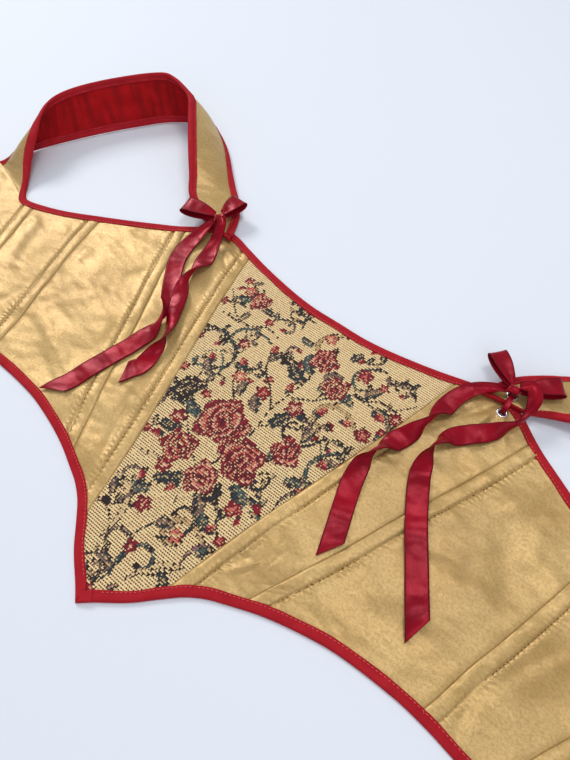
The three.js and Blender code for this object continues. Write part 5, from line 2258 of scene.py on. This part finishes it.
# A bias fold round a strap's edge: distance in from the edge, and out from the strap's middle
STRAP_FOLD = (
    (-0.3, 0.0), (-0.1, 1.1), (0.6, 1.85), (1.8, 2.12), (3.0, 2.12), (3.9, 1.9), (4.4, 1.55), (4.9, 1.85),
    (5.8, 2.0), (6.6, 1.95), (7.1, 1.7), (7.2, 1.4), (6.6, 1.2), (1.4, 1.2), (1.4, -1.25), (6.6, -1.25),
    (7.2, -1.4), (7.1, -1.75), (6.6, -2.0), (5.8, -2.05), (4.9, -1.85), (4.4, -1.5), (3.9, -1.85),
    (3.0, -2.1), (1.8, -2.1), (0.6, -1.8), (-0.1, -1.1),
)


@dataclass
class Bindings:
    """Every red bias binding, and the lapped tab on the front point."""

    step: float = 1.7
    crease: float = 0.07           # height of the small creases across the bias
    turning: float = 9.0           # from the armhole's corner to where its binding begins to turn

    def ripple(self, run: Array) -> Array:
        """The small unevenness along a binding."""
        return self.crease * (np.sin(run / 1.9 + 1.7 * np.sin(run / 8.3)) + 0.8 * np.sin(run / 4.7 + 0.6))

    def laid(self, curve: Callable[[Array], Array], inward: int, places: Array, side: int) -> Array:
        """The sections of a binding on a flat edge.

        Args:
            curve: the edge of the left half.
            inward: 1 where the cloth is above the edge, and -1 below it.
            places: x of each station, in the left half unless the edge crosses the middle.
            side: 1, or -1 to mirror it.

        Returns:
            Stations by the fold's points by three.
        """
        fold = np.array(LAID_FOLD)
        edge, stretch, lift = bound_edge(curve, inward, places, side)
        run = run_length(np.stack([places, edge], 1))
        follow = np.clip(fold[:, 0] / 4.5, 0, 1) * (fold[:, 1] > 0.5)
        inset = fold[None, :, 0] * (1 + 0.02 * np.sin(run / 6.1))[:, None]
        height = fold[None, :, 1] + (0.8 * lift + self.ripple(run))[:, None] * follow[None]
        height = np.maximum(height, 0)
        x = np.repeat(places[:, None], len(fold), 1) * side
        y = edge[:, None] + inset * stretch[:, None]
        return np.dstack([x, y, height])

    @staticmethod
    def strip(name: str, sections: Array) -> Piece:
        """A binding through its sections, mapped round the fold and along the edge.

        Args:
            name: the binding's name.
            sections: stations by the fold's points by three.

        Returns:
            The piece.
        """
        middle = sections.mean(1)
        run, around = run_length(middle), run_length(sections[len(sections) // 2])
        uvs = np.dstack([np.tile(around, (len(run), 1)), np.tile(run[:, None], (1, len(around)))])
        return swept(f"{name}_cloth", sections, uvs)

    def armhole(self, side: Side) -> Piece:
        """The binding along the armhole, round its corner and on to the strap's edge.

        Args:
            side: the garment's side.

        Returns:
            The piece.
        """
        form = StrapForm(side)
        places = self.stations(NECK_CORNER + 0.1, ARMHOLE_CORNER[0] - self.turning)
        edge = self.laid(top_edge, -1, places, side.value)
        run = form.length - self.turning - 1.5 * np.arange(7.0)
        row = form.row_at(run)
        fold = np.array(LAID_FOLD)
        share = 1 - np.tile(fold[:, 0], (len(run), 1)) / form.width(row)[:, None]
        out = np.tile(fold[:, 1] - 0.98, (len(run), 1))
        rising = form.at(row, share, out) * (side.value, 1, 1)
        t = np.linspace(0, 1, 12)[1:-1, None, None]
        start, end = edge[-1], rising[0]
        reach = 1.15 * np.linalg.norm(end - start, axis=1)[:, None]
        leave, arrive = unit(edge[-1] - edge[-2]) * reach, unit(rising[1] - rising[0]) * reach
        corner = (
            (2 * t**3 - 3 * t**2 + 1) * start + (t**3 - 2 * t**2 + t) * leave
            + (3 * t**2 - 2 * t**3) * end + (t**3 - t**2) * arrive
        )
        return self.strip(f"armhole_binding_{side.word}", np.concatenate([edge, corner, rising]))

    def stations(self, start: float, finish: float) -> Array:
        """Places from start to finish, a step apart."""
        return np.linspace(start, finish, max(2, int(abs(finish - start) / self.step)))

    def back_edge(self, side: Side) -> Piece:
        """The binding down one centre back edge.

        Args:
            side: the garment's side.

        Returns:
            The piece.
        """
        foot, head = np.array(BACK_HEM), np.array(BACK_NECK)
        length = float(np.linalg.norm(head - foot))
        ahead = (head - foot) / length
        inward = np.array([-ahead[1], ahead[0]])
        clear = BINDING_WIDTH + 1.0
        run = np.linspace(clear, length - clear, int((length - 2 * clear) / self.step))
        fold = np.array(LAID_FOLD)
        line = foot + ahead * run[:, None]
        plan = line[:, None] + inward * fold[None, :, :1]
        height = fold[None, :, 1:] + self.ripple(run)[:, None, None] * (fold[None, :, 1:] > 2.5)
        points = np.concatenate([plan * (side.value, 1), height], 2)
        return self.strip(f"back_edge_binding_{side.word}", points)

    def strap_edge(self, form: StrapForm, edge: str) -> Piece:
        """The binding round one long edge of a strap.

        Args:
            form: the strap.
            edge: "neck" or "armhole".

        Returns:
            The piece.
        """
        start = END_BINDING_WIDTH + 0.3
        run = np.linspace(start, form.length, int(form.length / self.step))
        row = form.row_at(run)
        width = form.width(row)[:, None]
        fold = np.array(STRAP_FOLD)
        inset = np.repeat(fold[None, :, 0], len(run), 0)
        share = inset / width if edge == "neck" else 1 - inset / width
        follow = np.sign(fold[:, 1]) * (np.abs(fold[:, 1]) > 1.5)
        out = fold[None, :, 1] + self.ripple(run)[:, None] * follow[None]
        points = form.at(row, share, out) * (form.side.value, 1, 1)
        return self.strip(f"strap_{edge}_binding_{form.side.word}", points)

    def strap_end(self, form: StrapForm) -> Piece:
        """The narrow binding across a strap's front end.

        Args:
            form: the strap.

        Returns:
            The piece.
        """
        fold = np.array(STRAP_FOLD) * (END_BINDING_WIDTH / BINDING_WIDTH, 1)
        width = float(form.width(np.array([0.0]))[0])
        across = np.linspace(0.3, width - 0.3, 22)
        rows = form.row_at(np.maximum(fold[:, 0], 0))
        points = np.stack([
            form.at(rows, np.full((len(fold), 1), place / width), fold[:, 1:])[:, 0] for place in across
        ]) * (form.side.value, 1, 1)
        return self.strip(f"strap_end_binding_{form.side.word}", points)

    def point_tab(self) -> Piece:
        """The lapped end of the hem's binding over the front point.

        Returns:
            The piece.
        """
        deselect()
        place = (2.5 * MM, (7.2 + POINT_Y) * MM, (BINDING_TOP + 0.6) * MM)
        bpy.ops.mesh.primitive_grid_add(x_subdivisions=10, y_subdivisions=8, size=1 * MM, location=place)
        tab = bpy.context.active_object
        tab.name = "point_tab_cloth"
        bpy.ops.object.mode_set(mode="EDIT")
        bpy.ops.mesh.select_all(action="SELECT")
        bpy.ops.transform.resize(value=(8.4, 6.6, 1), center_override=place)
        bpy.ops.transform.rotate(value=math.radians(-38), orient_axis="Z", center_override=place)
        bpy.ops.object.mode_set(mode="OBJECT")
        bpy.ops.object.transform_apply(location=True, rotation=True, scale=True)
        for vertex in tab.data.vertices:
            away = (vertex.co - Vector(place)).length / MM
            vertex.co.z -= (0.012 * away * away + 0.1 * math.sin(away * 2.1)) * MM
        wall = tab.modifiers.new("cloth", "SOLIDIFY")
        wall.thickness = 0.5 * MM
        wall.offset = 0
        bevel = tab.modifiers.new("soft edge", "BEVEL")
        bevel.width = 0.15 * MM
        bevel.segments = 2
        for name in ("cloth", "soft edge"):
            bpy.ops.object.modifier_apply(modifier=name)
        layer = tab.data.uv_layers[0]
        layer.name = CLOTH_UV
        corners = [v for loop in tab.data.loops for v in tab.data.vertices[loop.vertex_index].co[:2]]
        layer.data.foreach_set("uv", corners)
        bpy.ops.object.shade_smooth()
        return tab

    def make(self, finishes: Wardrobe) -> None:
        """Builds every binding.

        Args:
            finishes: the materials.
        """
        neckline = self.laid(top_edge, -1, self.stations(-NECK_CORNER + 0.1, NECK_CORNER - 0.1), 1)
        pieces = {"neckline_binding": self.strip("neckline_binding", neckline)}
        for side in Side:
            word, way = side.word, side.value
            form = StrapForm(side)
            hem = self.laid(HEM, 1, self.stations(0.1, BACK_HEM[0]), way)
            neck = self.laid(top_edge, -1, self.stations(STRAP_ROOT[0] + 0.2, BACK_NECK[0]), way)
            pieces[f"armhole_binding_{word}"] = self.armhole(side)
            pieces[f"hem_binding_{word}"] = self.strip(f"hem_binding_{word}", hem)
            pieces[f"back_neck_binding_{word}"] = self.strip(f"back_neck_binding_{word}", neck)
            pieces[f"back_edge_binding_{word}"] = self.back_edge(side)
            pieces[f"strap_neck_binding_{word}"] = self.strap_edge(form, "neck")
            pieces[f"strap_armhole_binding_{word}"] = self.strap_edge(form, "armhole")
            pieces[f"strap_end_binding_{word}"] = self.strap_end(form)
        pieces["point_tab"] = self.point_tab()
        for node, piece in pieces.items():
            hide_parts(node)
            dress(piece, "red_binding", finishes.binding)
        LOG.info("bindings: %d pieces", len(pieces))


# Eyelets


@dataclass
class Eyelets:
    """The metal eyelets of the strap joints and of the centre back."""

    bore: float = 2.4
    flange: float = 4.7
    rise: float = 1.1

    def model(self) -> Piece:
        """One eyelet, spun from its wall's section and standing on its seat at the origin.

        Returns:
            The eyelet.
        """
        mesh = bpy.data.meshes.new("eyelet_model")
        model = bpy.data.objects.new("eyelet_model", mesh)
        link(model)
        roll = [
            (self.flange, 0.05), (self.flange + 0.1, 0.35), (self.flange - 0.35, 0.8), (3.7, self.rise),
            (3.0, 1.0), (2.55, 0.6), (self.bore, 0.0), (self.bore, -2.6),
        ]
        shape = bmesh.new()
        points = [shape.verts.new((radius * MM, 0, z * MM)) for radius, z in roll]
        for a, b in zip(points, points[1:]):
            shape.edges.new((a, b))
        shape.to_mesh(mesh)
        shape.free()
        make_active(model)
        bpy.ops.object.mode_set(mode="EDIT")
        bpy.ops.mesh.select_all(action="SELECT")
        bpy.ops.mesh.spin(steps=40, angle=2 * math.pi, center=(0, 0, 0), axis=(0, 0, 1))
        bpy.ops.mesh.select_all(action="SELECT")
        bpy.ops.mesh.remove_doubles(threshold=0.00002)
        bpy.ops.mesh.normals_make_consistent(inside=False)
        bpy.ops.object.mode_set(mode="OBJECT")
        wall = model.modifiers.new("metal", "SOLIDIFY")
        wall.thickness = 0.35 * MM
        wall.offset = -1
        bpy.ops.object.modifier_apply(modifier="metal")
        bpy.ops.object.shade_smooth()
        return model

    def copy(self, model: Piece, name: str, place: Row, finishes: Wardrobe) -> None:
        """Sets one eyelet in its place.

        Args:
            model: the eyelet to copy.
            name: the CAD node's name.
            place: its middle and its seat's height.
            finishes: the materials.
        """
        mesh = model.data.copy()
        x, y, z = place
        mesh.transform(Matrix.Translation((x * MM, (y + POINT_Y) * MM, z * MM)))
        piece = bpy.data.objects.new(f"{name}_metal", mesh)
        link(piece)
        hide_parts(name)
        dress(piece, "eyelet_metal", finishes.nickel)

    def make(self, finishes: Wardrobe) -> None:
        """Sets every eyelet.

        Args:
            finishes: the materials.
        """
        model = self.model()
        for side in Side:
            way, word = side.value, side.word
            seat = CLOTH + 0.6
            self.copy(model, f"front_eyelet_{word}", (way * FRONT_EYELET[0], FRONT_EYELET[1], seat), finishes)
            strap_seat = STRAP[0][0][2] + 1.9
            place = (way * (STRAP_EYELET[0] + side.shift), STRAP_EYELET[1], strap_seat)
            self.copy(model, f"strap_eyelet_{word}", place, finishes)
            for k, (x, y) in enumerate(lacing_places()):
                self.copy(model, f"lacing_eyelet_{word}_{k + 1}", (way * x, y, CLOTH + 0.3), finishes)
        bpy.data.objects.remove(model, do_unlink=True)
        LOG.info("eyelets: %d", 2 * (2 + LACING_EYELETS))


# Stitching


@dataclass
class Stitching:
    """The visible sewing: dashes of thread along the bindings and channels."""

    pitch: float = 3.0
    long: float = 2.1
    thick: float = 0.56
    inset: float = 5.9             # from a bound edge to the line
    height: float = 2.93           # of a line on a laid binding
    step: float = 1.5              # between two points of such a line

    def model(self) -> tuple[Array, list[tuple[int, ...]]]:
        """One stitch along +X, arched a little: its points and faces.

        Returns:
            Points and faces.
        """
        deselect()
        bpy.ops.mesh.primitive_uv_sphere_add(segments=6, ring_count=5, radius=0.5)
        ball = bpy.context.active_object
        bpy.ops.object.mode_set(mode="EDIT")
        bpy.ops.mesh.select_all(action="SELECT")
        bpy.ops.transform.rotate(value=math.pi / 2, orient_axis="Y", center_override=(0, 0, 0))
        bpy.ops.transform.resize(value=(self.long, self.thick, self.thick * 0.8), center_override=(0, 0, 0))
        bpy.ops.object.mode_set(mode="OBJECT")
        points = np.array([v.co[:] for v in ball.data.vertices])
        points[:, 2] -= 0.35 * self.thick * (2 * points[:, 0] / self.long) ** 2
        faces = [tuple(p.vertices) for p in ball.data.polygons]
        bpy.data.objects.remove(ball, do_unlink=True)
        return points, faces

    def run(self, line: Array, normal: Array) -> Array:
        """Places and frames of the stitches along a line.

        Args:
            line: the line's points on the cloth.
            normal: the cloth's outward direction at each of them.

        Returns:
            Stitches by four by three: place, along, across and outward.
        """
        lengths = run_length(line)
        stops = np.arange(self.pitch, lengths[-1] - self.pitch, self.pitch)
        place = np.stack([np.interp(stops, lengths, line[:, k]) for k in range(3)], 1)
        ahead = np.stack([np.interp(stops + 0.4, lengths, line[:, k]) for k in range(3)], 1)
        outward = unit(np.stack([np.interp(stops, lengths, normal[:, k]) for k in range(3)], 1))
        along = unit(ahead - place)
        across = unit(np.cross(outward, along))
        return np.stack([place, along, across, np.cross(along, across)], 1)

    def sewn(self, name: str, frames: Array, model: tuple[Array, list[tuple[int, ...]]]) -> Piece:
        """Joins copies of the stitch into one piece.

        Args:
            name: the piece's name.
            frames: place and directions of each stitch.
            model: the stitch's points and faces.

        Returns:
            The piece.
        """
        points, faces = model
        place, turn = frames[:, 0], frames[:, 1:]
        copies = place[:, None] + np.einsum("pk,skc->spc", points, turn)
        count = len(points)
        joined = [tuple(i + s * count for i in f) for s in range(len(frames)) for f in faces]
        return new_mesh(name, copies.reshape(-1, 3), joined)

    def laid_line(self, curve: Callable[[Array], Array], inward: int, start: float, finish: float,
                  side: int) -> tuple[Array, Array]:
        """A sewing line on a laid edge's binding, with its upward directions.

        Args:
            curve: the edge of the left half.
            inward: 1 where the cloth is above the edge, and -1 below it.
            start: x where the line begins, in the left half.
            finish: x where it ends.
            side: 1, or -1 to mirror it.

        Returns:
            The line's points and directions.
        """
        places = np.arange(start, finish, self.step)
        edge, stretch, lift = bound_edge(curve, inward, places, side)
        line = np.stack([places * side, edge + self.inset * stretch, self.height + 0.8 * lift], 1)
        return line, np.tile([0.0, 0, 1], (len(line), 1))

    def channel_line(self, name: str, side: Side) -> tuple[Array, Array]:
        """The sewing line in a boning channel's groove.

        Args:
            name: the seam.
            side: the garment's side.

        Returns:
            The line's points and directions.
        """
        line = seam_line(name, CHANNEL_WIDTH)
        t = np.linspace(0.03, 0.97, 90)
        x, y = line(t)
        z = np.maximum(CLOTH + relief(side.value, x, y) * edge_fade(x, y) + 0.2, 0.5)
        return np.stack([x * side.value, y, z], 1), np.tile([0.0, 0, 1], (len(t), 1))

    def strap_lines(self, form: StrapForm) -> list[tuple[Array, Array]]:
        """The sewing lines on both faces of a strap's two bindings.

        Args:
            form: the strap.

        Returns:
            Points and directions of each line.
        """
        found = []
        run = np.linspace(END_BINDING_WIDTH + 4, form.length - 2, 200)
        row = form.row_at(run)
        width = form.width(row)[:, None]
        for share in (self.inset / width, 1 - self.inset / width):
            for way in (1, -1):
                near = form.at(row, share, np.full_like(share, way * 1.0))[:, 0]
                far = form.at(row, share, np.full_like(share, way * 1.85))[:, 0]
                flip = np.array([form.side.value, 1, 1])
                found.append((far * flip, (far - near) * flip))
        return found

    def make(self, finishes: Wardrobe) -> None:
        """Sews every line.

        Args:
            finishes: the materials.
        """
        model = self.model()
        lines = {"neckline": [self.laid_line(top_edge, -1, 3 - NECK_CORNER, NECK_CORNER - 3, 1)]}
        channels: list[tuple[Array, Array]] = []
        for side in Side:
            way, word = side.value, side.word
            arm = self.laid_line(top_edge, -1, NECK_CORNER + 3, ARMHOLE_CORNER[0] - 6, way)
            lines[f"armhole_{word}"] = [arm]
            lines[f"hem_{word}"] = [self.laid_line(HEM, 1, 7, BACK_HEM[0] - 6, way)]
            lines[f"strap_{word}"] = self.strap_lines(StrapForm(side))
            channels += [self.channel_line(name, side) for name in CHANNEL_SEAMS]
        total = 0
        for name, group in lines.items():
            frames = np.vstack([self.run(line, normal) for line, normal in group])
            total += len(frames)
            dress(self.sewn(f"{name}_stitches", frames, model), "red_binding", finishes.red_thread)
        frames = np.vstack([self.run(line, normal) for line, normal in channels])
        # the channel stitches are coloured dark brown as painted shade in their groove
        dress(self.sewn("channel_stitches", frames, model), "gold_satin", finishes.groove_shade_thread)
        LOG.info("stitches: %d", total + len(frames))


def corners(box: tuple[Vector, Vector]) -> list[list[float]]:
    """A box as plain numbers."""
    return [[float(value) for value in corner] for corner in box]


def main() -> None:
    """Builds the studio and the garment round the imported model."""
    logging.basicConfig(level=logging.INFO, format="%(message)s")
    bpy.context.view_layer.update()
    finishes = Wardrobe()
    studio = Studio()
    studio.make_camera()
    Ribbons().make(finishes)
    studio.make_table(finishes.table)
    studio.make_lights()
    tapestry = Tapestry().make(finishes)
    SatinPanels().make(finishes)
    Straps().make(finishes)
    Bindings().make(finishes)
    Eyelets().make(finishes)
    Stitching().make(finishes)
    deselect()


if __name__ == "__main__":
    main()
